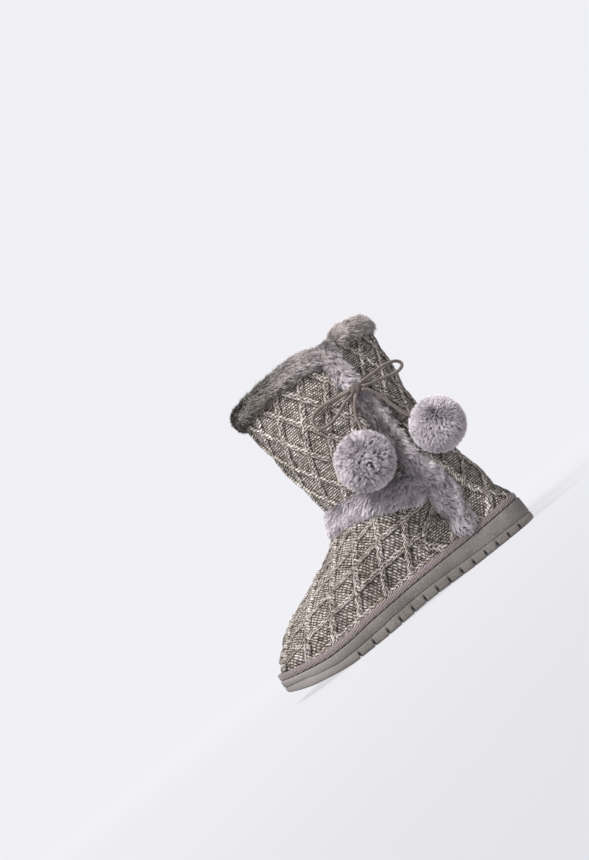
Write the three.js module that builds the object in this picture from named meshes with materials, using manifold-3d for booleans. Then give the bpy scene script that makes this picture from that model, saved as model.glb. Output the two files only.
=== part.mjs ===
// A knitted sweater boot for the left foot, in millimetres.
// +X points to the toe, +Y to the outer side and +Z up. The origin lies on the floor,
// in the middle of the flat lug under the heel.
import * as THREE from 'three';
import { mergeVertices } from 'three/addons/utils/BufferGeometryUtils.js';
import Module from 'manifold-3d';

const wasm = await Module();
wasm.setup();

// Sole
const SOLE_LENGTH = 265;
const HEEL_REACH = 40;
const BALL_WIDTH = 101;
const SIDE_HEIGHT = 20;
const TOE_SPRING = 12;
const ARCH_LIFT = 1.6;
const BED_DEPTH = 2.5;
const RIM_OF_BED = 13;
const SOLE_COLUMNS = 52;
const WELT_COLUMNS = 44;
const TREAD_INSET = 3;
const TREAD_EDGE = 1.4;
const TOP_EDGE = 1.2;
const LINE_DEPTH = 0.9;
const LINE_HEIGHT = 1.1;
const TREAD_GROOVES = 14;
const TREAD_WIDTH = 2.1;
const TREAD_DEPTH = 4;
const TREAD_PITCH = 12.9;
const TREAD_STRETCH = 4.2;
const FIRST_GROOVE = 22;

// Welt cord, insole and gaps
const WELT_HEIGHT = 6.6;
const WELT_INSET = 0.9;
const INSOLE_THICKNESS = 4;
const GAP = 0.3;
const SEAT_GAP = 0.6;
const FUR_GAP = 0.4;

// Upper
const INSTEP_HEIGHT = 96;
const SHAFT_HEIGHT = 229;
const WALL = 3;
const CABLE_RISE = 1.2;
const UPPER_COLUMNS = 48;
const INNER_COLUMNS = 26;
const CABLE_CELLS = 4;
const SLIT_FROM_HEEL = 56;
const SLIT_FOOT = 110;
const SLIT_BLEND = 30;
const SLIT_OVERLAP = 11;
const SLIT_GAP = 1.4;
const SLIT_SKIN = 0.1;
const CORNER_DIP = 11;
const CORNER_FRONT = 20;
const CORNER_BACK = 9;
const NOTCH_DIP = 9;
const NOTCH_REACH = 12;

// Fur
const FUR_DEPTH = 9;
const LOCK_DEPTH = 1.3;
const COLLAR_RISE = 10;
const COLLAR_DROP = 15;
const COLLAR_BULGE = 8;
const COLLAR_LINING = 6;
const COLLAR_GAP = 1.6;
const COLLAR_SLIT_GAP = 5.2;
const STRIP_WIDTH = 21;
const BAND_WIDTH = 21;
const BAND_CLEARANCE = 12;

// Lace and pompoms
const LACE = 3.2;
const FRONT_POMPOM = 50;
const BACK_POMPOM = 47;

// The walk of the sole edge from heel to toe. Lift is a share of the toe spring, arch of the arch
// lift, and top and line are shares of the side height.
const SOLE_EDGE = [
  { along: 0, lift: 0, arch: 0, top: 1.15, line: 0.37 },
  { along: 0.16, lift: 0, arch: 0, top: 1.08, line: 0.39 },
  { along: 0.27, lift: 0, arch: 0, top: 1.045, line: 0.44 },
  { along: 0.36, lift: 0, arch: 0.55, top: 1.03, line: 0.5 },
  { along: 0.46, lift: 0, arch: 1, top: 1.01, line: 0.545 },
  { along: 0.57, lift: 0, arch: 0.5, top: 0.955, line: 0.515 },
  { along: 0.66, lift: 0, arch: 0, top: 0.9, line: 0.45 },
  { along: 0.77, lift: 0, arch: 0, top: 0.795, line: 0.39 },
  { along: 0.82, lift: 0.1, arch: 0, top: 0.79, line: 0.41 },
  { along: 0.855, lift: 0.22, arch: 0, top: 0.835, line: 0.485 },
  { along: 0.89, lift: 0.36, arch: 0, top: 0.91, line: 0.57 },
  { along: 0.925, lift: 0.5, arch: 0, top: 0.99, line: 0.7 },
  { along: 0.96, lift: 0.7, arch: 0, top: 1.08, line: 0.8 },
  { along: 1, lift: 1, arch: 0, top: 1.2, line: 0.88 },
];

// The plan of the last: reach of the outer and inner side, as shares of half the ball width, and
// the drift of the middle line to the inner side.
const FOOTPRINT = [
  { along: 0, outer: 0.74, inner: 0.72, drift: 0 },
  { along: 0.2, outer: 0.74, inner: 0.71, drift: 0 },
  { along: 0.38, outer: 0.78, inner: 0.69, drift: 0 },
  { along: 0.5, outer: 0.86, inner: 0.72, drift: 0 },
  { along: 0.62, outer: 0.96, inner: 0.84, drift: 0 },
  { along: 0.75, outer: 1.02, inner: 0.98, drift: 0 },
  { along: 0.87, outer: 1.03, inner: 1.02, drift: 0.02 },
  { along: 1, outer: 1, inner: 1.03, drift: 0.07 },
];
const HEEL_ROUNDING = 8;
const TOE_ROUNDING = 5.3;

// Level sections of the upper. Up to level 1 a level is a share of the instep height, and from
// 1 to 2 a share of the shaft above it. Back and front are shares of the sole length, half is a
// share of the ball width, foot says how much of the plan of the last is left in the oval of the
// shaft, and egg how much wider the oval is at its back.
const SECTIONS = [
  { level: 0.1, back: 0.019, front: 0.977, half: 0.452, foot: 1, egg: 0 },
  { level: 0.313, back: 0.019, front: 0.974, half: 0.46, foot: 1, egg: 0 },
  { level: 0.385, back: 0.027, front: 0.961, half: 0.466, foot: 0.93, egg: 0.03 },
  { level: 0.438, back: 0.033, front: 0.943, half: 0.466, foot: 0.85, egg: 0.06 },
  { level: 0.49, back: 0.039, front: 0.922, half: 0.464, foot: 0.76, egg: 0.1 },
  { level: 0.542, back: 0.043, front: 0.897, half: 0.461, foot: 0.66, egg: 0.14 },
  { level: 0.594, back: 0.045, front: 0.864, half: 0.458, foot: 0.55, egg: 0.18 },
  { level: 0.646, back: 0.047, front: 0.822, half: 0.455, foot: 0.45, egg: 0.22 },
  { level: 0.698, back: 0.05, front: 0.777, half: 0.452, foot: 0.35, egg: 0.25 },
  { level: 0.75, back: 0.054, front: 0.732, half: 0.45, foot: 0.26, egg: 0.26 },
  { level: 0.813, back: 0.057, front: 0.677, half: 0.448, foot: 0.16, egg: 0.25 },
  { level: 0.875, back: 0.06, front: 0.631, half: 0.446, foot: 0.08, egg: 0.22 },
  { level: 0.938, back: 0.066, front: 0.594, half: 0.446, foot: 0.03, egg: 0.17 },
  { level: 1, back: 0.069, front: 0.562, half: 0.448, foot: 0, egg: 0.12 },
  { level: 1.045, back: 0.071, front: 0.541, half: 0.451, foot: 0, egg: 0.08 },
  { level: 1.105, back: 0.072, front: 0.532, half: 0.456, foot: 0, egg: 0.05 },
  { level: 1.195, back: 0.072, front: 0.536, half: 0.464, foot: 0, egg: 0.03 },
  { level: 1.33, back: 0.072, front: 0.547, half: 0.476, foot: 0, egg: 0.02 },
  { level: 1.48, back: 0.069, front: 0.558, half: 0.494, foot: 0, egg: 0 },
  { level: 1.63, back: 0.056, front: 0.565, half: 0.511, foot: 0, egg: 0 },
  { level: 1.78, back: 0.047, front: 0.571, half: 0.526, foot: 0, egg: 0 },
  { level: 1.93, back: 0.04, front: 0.577, half: 0.537, foot: 0, egg: 0 },
  { level: 2.15, back: 0.034, front: 0.581, half: 0.545, foot: 0, egg: 0 },
];

// The fur strip down the slit: its middle as a share of the sole length, its width as a share of
// the strip width. It is pinched where the lace is tied.
const STRIP = [
  { level: 0.3, middle: 0.228, width: 1 },
  { level: 0.52, middle: 0.219, width: 1.12 },
  { level: 0.8, middle: 0.218, width: 1 },
  { level: 1, middle: 0.235, width: 1 },
  { level: 1.22, middle: 0.237, width: 0.82 },
  { level: 1.45, middle: 0.236, width: 0.95 },
  { level: 1.58, middle: 0.24, width: 0.92 },
  { level: 1.635, middle: 0.241, width: 0.62 },
  { level: 1.69, middle: 0.243, width: 0.9 },
  { level: 1.88, middle: 0.246, width: 1 },
];

// The fur band round the ankle. Way runs from its end at the strip, 0, to the instep, 1, and height
// is a share of the instep height.
const BAND = [
  { way: 0, height: 0.81 },
  { way: 0.13, height: 0.88 },
  { way: 0.27, height: 0.935 },
  { way: 0.5, height: 1.02 },
  { way: 0.65, height: 1.06 },
  { way: 0.8, height: 1.08 },
  { way: 1, height: 1.078 },
];

// Lace route, chosen by hand
const FRONT_LOOP = [
  [30.6, 62.5, 181.6], [37, 61, 182.6], [46, 59, 184.6], [57, 56.8, 186], [66, 54.8, 184.6],
  [70.5, 53.7, 180.4], [70.6, 53.4, 175], [67, 54, 171], [58, 56, 170.2], [48, 58.6, 172.8],
  [39.5, 61.2, 176.2], [30.6, 63.6, 177.6],
];
const BACK_LOOP = [
  [19, 62.6, 181.8], [14, 60.8, 182.2], [5, 56, 182.4], [-5, 50, 183.4], [-15, 43, 183.4],
  [-23, 37, 181.6], [-26.4, 34.6, 178], [-24.5, 35.4, 174.6], [-17, 40.6, 172.8], [-7, 47.6, 173.6],
  [4, 54.4, 175.2], [13, 59.8, 176.6], [19, 63, 177.8],
];
const FRONT_END = [
  [28, 66, 175.8], [32, 65.4, 172.2], [36.6, 63, 166.6], [39.6, 61, 160], [41.6, 61.4, 153],
  [45, 63.6, 146.4], [49, 66.4, 140.6],
];
const BACK_END = [
  [21.6, 65.6, 176], [17, 64.2, 171.6], [13, 62, 165], [10, 60, 157], [7.4, 58.6, 148],
  [4.4, 57.8, 139.5], [0.6, 57.8, 131.4],
];
const KNOT_PLACE = [25.4, 62.4, 179.6];
const KNOT_SIZE = [6.2, 4.6, 5.4];
const TIE_BAR = [[14.4, 50.5, 179], [17, 55.4, 179.3], [21, 58.8, 179.6], [30, 59, 179.8], [34.2, 56.4, 179.8],
  [36.6, 53.8, 179.8]];
const FRONT_POMPOM_PLACE = [59, 72.4, 125.4];
const BACK_POMPOM_PLACE = [-12, 58.4, 114];

// Finishes
const knit = new THREE.MeshStandardMaterial({ color: 0x8c837b, roughness: 0.95 });
const fur = new THREE.MeshStandardMaterial({ color: 0x8f8791, roughness: 1 });
const rubber = new THREE.MeshStandardMaterial({ color: 0x6f6c6e, roughness: 0.8 });
const tape = new THREE.MeshStandardMaterial({ color: 0x8a8288, roughness: 0.9 });
const cordYarn = new THREE.MeshStandardMaterial({ color: 0x6f655f, roughness: 0.9 });
const fleece = new THREE.MeshStandardMaterial({ color: 0x3a393c, roughness: 1 });

// A smooth curve through one column of a table that never overshoots its rows.
function tableCurve(rows, key, column) {
  const xs = rows.map((row) => row[key]);
  const ys = rows.map((row) => row[column]);
  const slopes = ys.slice(1).map((y, i) => (y - ys[i]) / (xs[i + 1] - xs[i]));
  const tangents = ys.map((y, i) => {
    if (i === 0) return slopes[0];
    if (i === ys.length - 1) return slopes[i - 1];
    if (slopes[i - 1] * slopes[i] <= 0) return 0;
    return 2 / (1 / slopes[i - 1] + 1 / slopes[i]);
  });
  return (x) => {
    const held = Math.min(Math.max(x, xs[0]), xs[xs.length - 1]);
    let i = 0;
    while (i < xs.length - 2 && held > xs[i + 1]) i += 1;
    const step = xs[i + 1] - xs[i];
    const t = (held - xs[i]) / step;
    const h = t * t * (3 - 2 * t);
    return ys[i] * (1 - h) + ys[i + 1] * h
      + step * t * (1 - t) * ((1 - t) * tangents[i] - t * tangents[i + 1]);
  };
}

function smoothStep(low, high, x) {
  const t = Math.min(Math.max((x - low) / (high - low), 0), 1);
  return t * t * (3 - 2 * t);
}

function heightOf(level) {
  if (level <= 1) return level * INSTEP_HEIGHT;
  return INSTEP_HEIGHT + (level - 1) * (SHAFT_HEIGHT - INSTEP_HEIGHT);
}

function withHeights(rows) {
  return rows.map((row) => ({ ...row, height: heightOf(row.level) }));
}

const outerReach = tableCurve(FOOTPRINT, 'along', 'outer');
const innerReach = tableCurve(FOOTPRINT, 'along', 'inner');
const drift = tableCurve(FOOTPRINT, 'along', 'drift');

// Plan of the last: y as a share of half the ball width, at a share of the length, on side 1 or -1.
function footprint(along, side) {
  const power = along < 0.5 ? HEEL_ROUNDING : TOE_ROUNDING;
  const rounding = Math.sqrt(Math.max(1 - Math.abs(2 * along - 1) ** power, 0));
  const reach = side > 0 ? outerReach(along) : innerReach(along);
  return side * reach * rounding - drift(along);
}

// Closed solids from rings of points. A ring has the same count of points as its neighbours.
function ringSolid(rings, { closed = false, bridged = false } = {}) {
  const count = rings[0].length;
  const positions = rings.flat().flatMap((p) => [p.x, p.y, p.z]);
  const indices = [];
  const bands = closed ? rings.length : rings.length - 1;
  for (let r = 0; r < bands; r += 1) {
    const low = r * count;
    const high = ((r + 1) % rings.length) * count;
    for (let i = 0; i < count; i += 1) {
      const j = (i + 1) % count;
      indices.push(low + i, low + j, high + j, low + i, high + j, high + i);
    }
  }
  if (!closed) {
    const last = (rings.length - 1) * count;
    if (bridged) {
      for (let i = 0; i < count / 2; i += 1) {
        const a = i;
        const b = i + 1;
        const c = (count - i - 1) % count;
        const d = (count - i) % count;
        if (c !== b) {
          indices.push(a, c, b);
          indices.push(last + a, last + b, last + c);
        }
        if (a !== d) {
          indices.push(a, d, c);
          indices.push(last + a, last + c, last + d);
        }
      }
    } else {
      for (const [start, turned] of [[0, true], [last, false]]) {
        const middle = positions.length / 3;
        const centre = new THREE.Vector3();
        const ring = start === 0 ? rings[0] : rings[rings.length - 1];
        ring.forEach((p) => centre.addScaledVector(p, 1 / count));
        positions.push(centre.x, centre.y, centre.z);
        for (let i = 0; i < count; i += 1) {
          const j = (i + 1) % count;
          if (turned) indices.push(start + j, start + i, middle);
          else indices.push(start + i, start + j, middle);
        }
      }
    }
  }
  const geometry = new THREE.BufferGeometry();
  geometry.setAttribute('position', new THREE.Float32BufferAttribute(positions, 3));
  geometry.setIndex(indices);
  return geometry;
}

function toManifold(source) {
  const bare = source.clone();
  bare.deleteAttribute('normal');
  bare.deleteAttribute('uv');
  const merged = mergeVertices(bare, 1e-4);
  const solid = new wasm.Manifold(new wasm.Mesh({
    numProp: 3,
    vertProperties: new Float32Array(merged.attributes.position.array),
    triVerts: new Uint32Array(merged.index.array),
  }));
  if (solid.volume() > 0) return solid;
  const turned = merged.index.array.slice();
  for (let i = 0; i < turned.length; i += 3) {
    [turned[i], turned[i + 1]] = [turned[i + 1], turned[i]];
  }
  return new wasm.Manifold(new wasm.Mesh({
    numProp: 3,
    vertProperties: new Float32Array(merged.attributes.position.array),
    triVerts: new Uint32Array(turned),
  }));
}

function toGeometry(solid) {
  const mesh = solid.getMesh();
  const geometry = new THREE.BufferGeometry();
  geometry.setAttribute('position', new THREE.BufferAttribute(mesh.vertProperties, 3));
  geometry.setIndex(new THREE.BufferAttribute(mesh.triVerts, 1));
  geometry.computeVertexNormals();
  return geometry;
}

// A slab between two height curves over the length, as wide as the boot and more.
function slab(lowHeight, highHeight, steps) {
  const outline = new THREE.Shape();
  const from = -0.2;
  const to = 1.2;
  for (let i = 0; i <= steps; i += 1) {
    const along = from + ((to - from) * i) / steps;
    const x = along * SOLE_LENGTH - HEEL_REACH;
    if (i === 0) outline.moveTo(x, lowHeight(along));
    else outline.lineTo(x, lowHeight(along));
  }
  for (let i = steps; i >= 0; i -= 1) {
    const along = from + ((to - from) * i) / steps;
    outline.lineTo(along * SOLE_LENGTH - HEEL_REACH, highHeight(along));
  }
  const geometry = new THREE.ExtrudeGeometry(outline, { depth: 2 * BALL_WIDTH, bevelEnabled: false });
  geometry.rotateX(Math.PI / 2);
  geometry.translate(0, BALL_WIDTH, 0);
  return toManifold(geometry);
}

// Sole
const liftShare = tableCurve(SOLE_EDGE, 'along', 'lift');
const archShare = tableCurve(SOLE_EDGE, 'along', 'arch');
const topShare = tableCurve(SOLE_EDGE, 'along', 'top');
const lineShare = tableCurve(SOLE_EDGE, 'along', 'line');
const soleBottom = (along) => liftShare(along) * TOE_SPRING + archShare(along) * ARCH_LIFT;
const soleTop = (along) => topShare(along) * SIDE_HEIGHT;
const soleLine = (along) => lineShare(along) * SIDE_HEIGHT;

// One ring of the sole outline, pulled in by an inset and carried at a height that follows the edge.
function soleRing(inset, height, columns) {
  return Array.from({ length: columns }, (_, i) => {
    const side = i <= columns / 2 ? 1 : -1;
    const angle = (2 * Math.PI * i) / columns;
    const along = (1 - Math.cos(angle)) / 2;
    const full = SOLE_LENGTH / 2;
    const x = full + (2 * along - 1) * (full - inset) - HEEL_REACH;
    const half = BALL_WIDTH / 2;
    const y = footprint(along, side) * half * (1 - inset / half);
    return new THREE.Vector3(x, y, height((x + HEEL_REACH) / SOLE_LENGTH));
  });
}

function makeSole() {
  const profile = [
    [TREAD_INSET, (a) => soleBottom(a)],
    [TREAD_EDGE / 2, (a) => soleBottom(a) + TREAD_EDGE],
    [0, (a) => soleLine(a) - LINE_HEIGHT],
    [LINE_DEPTH, (a) => soleLine(a) - LINE_HEIGHT / 2],
    [LINE_DEPTH, (a) => soleLine(a) + LINE_HEIGHT / 2],
    [0, (a) => soleLine(a) + LINE_HEIGHT],
    [0, (a) => soleTop(a) - TOP_EDGE],
    [TOP_EDGE, (a) => soleTop(a)],
    [RIM_OF_BED, (a) => soleTop(a)],
    [RIM_OF_BED + BED_DEPTH, (a) => soleTop(a) - BED_DEPTH],
  ];
  const rings = profile.map(([inset, height]) => soleRing(inset, height, SOLE_COLUMNS));
  let sole = toManifold(ringSolid(rings, { bridged: true }));
  let x = FIRST_GROOVE - HEEL_REACH;
  for (let i = 0; i < TREAD_GROOVES; i += 1) {
    const along = (x + HEEL_REACH) / SOLE_LENGTH;
    const groove = new THREE.BoxGeometry(TREAD_WIDTH, 2 * BALL_WIDTH, 2 * TREAD_DEPTH);
    groove.translate(x, 0, soleBottom(along));
    sole = sole.subtract(toManifold(groove));
    x += TREAD_PITCH + TREAD_STRETCH * (i / TREAD_GROOVES) ** 3;
  }
  return sole;
}

// Upper
const sections = withHeights(SECTIONS);
const backAt = tableCurve(sections, 'height', 'back');
const frontAt = tableCurve(sections, 'height', 'front');
const halfAt = tableCurve(sections, 'height', 'half');
const footAt = tableCurve(sections, 'height', 'foot');
const eggAt = tableCurve(sections, 'height', 'egg');

// A point of the bare upper at a height and an angle from 0 at the heel to pi at the toe.
function sectionPoint(height, angle, side) {
  const back = backAt(height) * SOLE_LENGTH;
  const front = frontAt(height) * SOLE_LENGTH;
  const along = (1 - Math.cos(angle)) / 2;
  const oval = side * Math.sin(angle) * (1 + eggAt(height) * Math.cos(angle));
  const foot = footAt(height);
  const share = foot * footprint(along, side) + (1 - foot) * oval;
  const x = back + (front - back) * along - HEEL_REACH;
  return new THREE.Vector3(x, share * halfAt(height) * BALL_WIDTH, height);
}

// Equal steps of length round a section: turn 0 is the heel, 0.5 the toe and 1 the heel again,
// with the outer side first.
const walks = new Map();
const WALK_STEPS = 120;
function sectionWalk(height, side) {
  const key = `${height.toFixed(3)} ${side}`;
  if (!walks.has(key)) {
    const lengths = [0];
    let last = sectionPoint(height, 0, side);
    for (let i = 1; i <= WALK_STEPS; i += 1) {
      const next = sectionPoint(height, (Math.PI * i) / WALK_STEPS, side);
      lengths.push(lengths[i - 1] + next.distanceTo(last));
      last = next;
    }
    walks.set(key, lengths);
  }
  return walks.get(key);
}

function ringLength(height) {
  return sectionWalk(height, 1)[WALK_STEPS] + sectionWalk(height, -1)[WALK_STEPS];
}

function bareSurface(turn, height) {
  const round = turn - Math.floor(turn);
  const side = round <= 0.5 ? 1 : -1;
  const share = side > 0 ? 2 * round : 2 * (1 - round);
  const lengths = sectionWalk(height, side);
  const wanted = share * lengths[WALK_STEPS];
  let low = 0;
  let high = WALK_STEPS;
  while (high - low > 1) {
    const middle = (low + high) >> 1;
    if (lengths[middle] <= wanted) low = middle;
    else high = middle;
  }
  const part = (wanted - lengths[low]) / (lengths[high] - lengths[low]);
  return sectionPoint(height, (Math.PI * (low + part)) / WALK_STEPS, side);
}

function outward(turn, height) {
  const round = bareSurface(turn + 0.002, height).sub(bareSurface(turn - 0.002, height));
  const up = bareSurface(turn, height + 0.6).sub(bareSurface(turn, height - 0.6));
  return up.cross(round).normalize();
}

// The upper's own surface, grown by an offset along its normal.
function surface(turn, height, offset) {
  return bareSurface(turn, height).addScaledVector(outward(turn, height), offset);
}

// The turn at which a section reaches a distance from the heel end, on side 1 or -1.
function turnAt(height, fromHeel, side) {
  let low = 0;
  let high = 0.5;
  for (let i = 0; i < 30; i += 1) {
    const middle = (low + high) / 2;
    const turn = side > 0 ? middle : 1 - middle;
    if (bareSurface(turn, height).x + HEEL_REACH < fromHeel) low = middle;
    else high = middle;
  }
  return side > 0 ? low : 1 - low;
}

const SLIT_TURN = turnAt(SHAFT_HEIGHT, SLIT_FROM_HEEL, 1);
const NOTCH_TURN = turnAt(SHAFT_HEIGHT, SLIT_FROM_HEEL, -1);
const RIM_LENGTH = ringLength(SHAFT_HEIGHT);
const RIM_START = heightOf(1.4);

// The top edge of the wall, with its rounded corner at the slit and its notch on the inner side.
function rimHeight(turn) {
  const round = turn - Math.floor(turn);
  const reach = round > SLIT_TURN ? CORNER_FRONT : CORNER_BACK;
  const fromSlit = ((round - SLIT_TURN) * RIM_LENGTH) / reach;
  const fromNotch = ((round - NOTCH_TURN) * RIM_LENGTH) / NOTCH_REACH;
  const corner = CORNER_DIP * Math.exp(-fromSlit * fromSlit) * (round > SLIT_TURN ? 1 : 0.5);
  return SHAFT_HEIGHT - corner - NOTCH_DIP * Math.exp(-fromNotch * fromNotch);
}

function rimmed(height, turn) {
  if (height <= RIM_START) return height;
  return RIM_START + ((height - RIM_START) * (rimHeight(turn) - RIM_START)) / (SHAFT_HEIGHT - RIM_START);
}

// How far the back panel is tucked in behind the slit.
const TUCK = WALL + SLIT_GAP;
const TUCK_START = -0.06;
function tuckAt(turn, height) {
  const local = turn > 0.5 ? turn - 1 : turn;
  const up = smoothStep(SLIT_FOOT, SLIT_FOOT + SLIT_BLEND, height);
  return TUCK * up * smoothStep(TUCK_START, SLIT_TURN - 0.02, local);
}

const OUTER_ROWS = [
  0.14, 0.33, 0.405, 0.47, 0.535, 0.6, 0.665, 0.73, 0.81, 0.9, 1, 1.1, 1.22, 1.34, 1.46, 1.58, 1.7,
  1.82, 1.91, 2,
];
const INNER_ROWS = [0.1, 0.36, 0.49, 0.61, 0.72, 0.84, 0.97, 1.1, 1.3, 1.55, 1.82, 2.12];
const BARE_ROWS = 2;
const EDGE = 0.0012;

// Turns of the columns of a form: even ones, and a close pair at a step in the wall on both sides.
function columnTurns(count, step) {
  const even = Array.from({ length: count }, (_, i) => ({ turn: i / count, column: i }));
  const pairs = [step - EDGE, step + EDGE, 1 - step - EDGE, 1 - step + EDGE];
  const all = [...even, ...pairs.map((turn) => ({ turn, column: null }))];
  return all.sort((a, b) => a.turn - b.turn);
}

function cableRise(column, row) {
  if (column === null || row < BARE_ROWS || row > OUTER_ROWS.length - 3) return 0;
  const rising = (column + row) % CABLE_CELLS === 0;
  const falling = (column - row + 8 * CABLE_CELLS) % CABLE_CELLS === 0;
  return rising || falling ? CABLE_RISE : 0;
}

// The closed outer form of the upper, grown by an offset, with its cables raised.
function outerForm(grow, top = 0) {
  const turns = columnTurns(UPPER_COLUMNS, SLIT_TURN);
  const rings = OUTER_ROWS.map((level, row) => turns.map(({ turn, column }) => {
    const last = row === OUTER_ROWS.length - 1;
    const height = rimmed(heightOf(level), turn) + (last ? top : 0);
    const tuck = turn < SLIT_TURN || turn > 0.5 ? tuckAt(turn, height) : 0;
    return surface(turn, height, grow + cableRise(column, row) - tuck);
  }));
  return toManifold(ringSolid(rings, { bridged: true }));
}

// The hollow of the upper. Where the back panel lies behind the front panel, the wall is double.
function innerForm(shrink) {
  const doubled = SLIT_TURN + SLIT_OVERLAP / RIM_LENGTH;
  const rings = INNER_ROWS.map((level) => columnTurns(INNER_COLUMNS, doubled).map(({ turn }) => {
    const height = heightOf(level);
    const covered = turn < doubled || turn > 0.5;
    const tuck = covered ? tuckAt(turn > 0.5 ? turn : Math.min(turn, SLIT_TURN), height) : 0;
    return surface(turn, height, -shrink - tuck);
  }));
  return toManifold(ringSolid(rings, { bridged: true }));
}

// The open slit between the front panel and the back panel that is tucked in behind it.
function slitGap() {
  const rows = 5;
  const steps = 3;
  const low = SLIT_FOOT + SLIT_BLEND;
  const rings = [];
  for (let i = 0; i <= rows; i += 1) {
    const height = low + ((SHAFT_HEIGHT + COLLAR_RISE - low) * i) / rows;
    const overlap = SLIT_OVERLAP / ringLength(height);
    const outer = [];
    const inner = [];
    for (let k = 0; k <= steps; k += 1) {
      const turn = SLIT_TURN + overlap * ((2.15 * k) / steps - 1);
      outer.push(surface(turn, height, k === 0 ? WALL : -WALL - SLIT_SKIN));
      inner.push(surface(turn, height, -WALL - SLIT_GAP));
    }
    rings.push([...outer, ...inner.reverse()]);
  }
  return toManifold(ringSolid(rings));
}

const underSole = slab(() => -SIDE_HEIGHT, (a) => soleTop(a) + SEAT_GAP, 26);

function makeUpper() {
  const wall = outerForm(0).subtract(innerForm(WALL)).subtract(slitGap());
  return wall.subtract(underSole);
}

// The wall with its clearance, which cuts the seat of every piece that lies on the upper.
const grownForm = outerForm(FUR_GAP, FUR_GAP);
const grownWall = grownForm.subtract(innerForm(WALL + FUR_GAP));

function makeWelt() {
  const inside = WELT_INSET + RIM_OF_BED;
  const rows = [
    [WELT_INSET, 0], [WELT_INSET, 0.6], [WELT_INSET + 1.4, 1], [inside, 1], [inside, 0],
  ];
  const rings = rows.map(([inset, up]) => (
    soleRing(inset, (a) => soleTop(a) + SEAT_GAP + up * (WELT_HEIGHT - SEAT_GAP), WELT_COLUMNS)));
  return toManifold(ringSolid(rings, { closed: true })).subtract(grownForm);
}

function makeInsole() {
  const bed = slab((a) => soleTop(a) + SEAT_GAP, (a) => soleTop(a) + SEAT_GAP + INSOLE_THICKNESS, 20);
  return innerForm(WALL + GAP).intersect(bed);
}

// Fur locks stand out by turns over a pile surface, each a little unlike its neighbours.
function lockLift(row, column) {
  const wave = Math.sin(row * 12.9898 + column * 78.233) * 43758.5453;
  const vary = wave - Math.floor(wave);
  return ((row + column) % 2 === 0 ? 1 : -0.5) * LOCK_DEPTH * (0.6 + 0.8 * vary);
}

// Stations along a piece of fur, with two close ones that round each end over a radius.
function furStations(length, radius, count) {
  const ends = [0, 0.25, 0.7].map((part) => (part * radius) / length);
  const inner = Array.from({ length: count }, (_, i) => {
    const low = (1.4 * radius) / length;
    return low + ((1 - 2 * low) * i) / (count - 1);
  });
  return [...ends, ...inner, ...ends.map((share) => 1 - share).reverse()];
}

function endRounding(share, length, radius) {
  const near = Math.min(share, 1 - share) * length;
  const t = Math.min((near + 0.1 * radius) / radius, 1);
  return Math.sqrt(1 - (1 - t) * (1 - t));
}

// A pad of fur on the upper. The path gives turn, height and width at a share of its way; the pad
// reaches below the surface, and its seat is cut afterwards.
const PILE_POINTS = 5;
const PAD_ROOT = 3;
function furPad(path, length, stations) {
  const rings = [];
  const shares = furStations(length, path(0).width / 2, stations);
  const last = shares.length - 1;
  for (const [i, share] of shares.entries()) {
    const here = path(share);
    const before = path(Math.max(share - 0.01, 0));
    const after = path(Math.min(share + 0.01, 1));
    const around = ringLength(here.height);
    const run = (after.turn - before.turn) * around;
    const rise = after.height - before.height;
    const norm = Math.hypot(run, rise);
    const end = endRounding(share, length, here.width / 2);
    const ring = [];
    for (let j = 0; j <= PILE_POINTS; j += 1) {
      const angle = (Math.PI * j) / PILE_POINTS;
      const across = (-Math.cos(angle) * end * here.width) / 2;
      const inner = j > 0 && j < PILE_POINTS && i > 0 && i < last;
      const lift = inner ? lockLift(i, j) : 0;
      const depth = FUR_DEPTH * (here.depth ?? 1) * Math.sin(angle) ** 0.7 * end + lift;
      const turn = here.turn - (across * rise) / norm / around;
      const height = here.height + (across * run) / norm;
      ring.push(surface(turn, height, depth));
    }
    for (const side of [0.9, -0.9]) {
      const across = (side * end * here.width) / 2;
      const turn = here.turn - (across * rise) / norm / around;
      ring.push(surface(turn, here.height + (across * run) / norm, -PAD_ROOT));
    }
    rings.push(ring);
  }
  return toManifold(ringSolid(rings)).subtract(grownForm);
}

const stripRows = withHeights(STRIP);
const stripMiddle = tableCurve(stripRows, 'height', 'middle');
const stripShare = tableCurve(stripRows, 'height', 'width');
const STRIP_FOOT = soleTop(stripMiddle(0)) + WELT_HEIGHT + 2 * GAP;

function stripPath(side) {
  const top = rimHeight(side > 0 ? SLIT_TURN : NOTCH_TURN) - COLLAR_DROP - 4 * LOCK_DEPTH;
  return (share) => {
    const height = STRIP_FOOT + (top - STRIP_FOOT) * share;
    const turn = turnAt(height, stripMiddle(height) * SOLE_LENGTH, side);
    const pinch = side > 0 ? stripShare(height) : 1;
    return { turn, height, width: STRIP_WIDTH * pinch, depth: 0.35 + 0.65 * pinch };
  };
}

function makeStrip(side) {
  return furPad(stripPath(side), SHAFT_HEIGHT - STRIP_FOOT, 12);
}

// The outer strip is pressed in under the lace.
function makePinchedStrip() {
  return makeStrip(1).subtract(makeTube(TIE_BAR, 6, FUR_GAP).add(makeKnotBall(FUR_GAP)));
}

const bandHeight = tableCurve(BAND, 'way', 'height');
function makeBand() {
  const low = bandHeight(0) * INSTEP_HEIGHT;
  const beside = stripMiddle(low) * SOLE_LENGTH + STRIP_WIDTH / 2 + BAND_CLEARANCE;
  const start = turnAt(low, beside, 1);
  const end = turnAt(low, beside, -1);
  const path = (share) => {
    const way = 1 - Math.abs(2 * share - 1);
    return { turn: start + (end - start) * share, height: bandHeight(way) * INSTEP_HEIGHT, width: BAND_WIDTH };
  };
  return furPad(path, (end - start) * ringLength(INSTEP_HEIGHT), 15);
}

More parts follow.
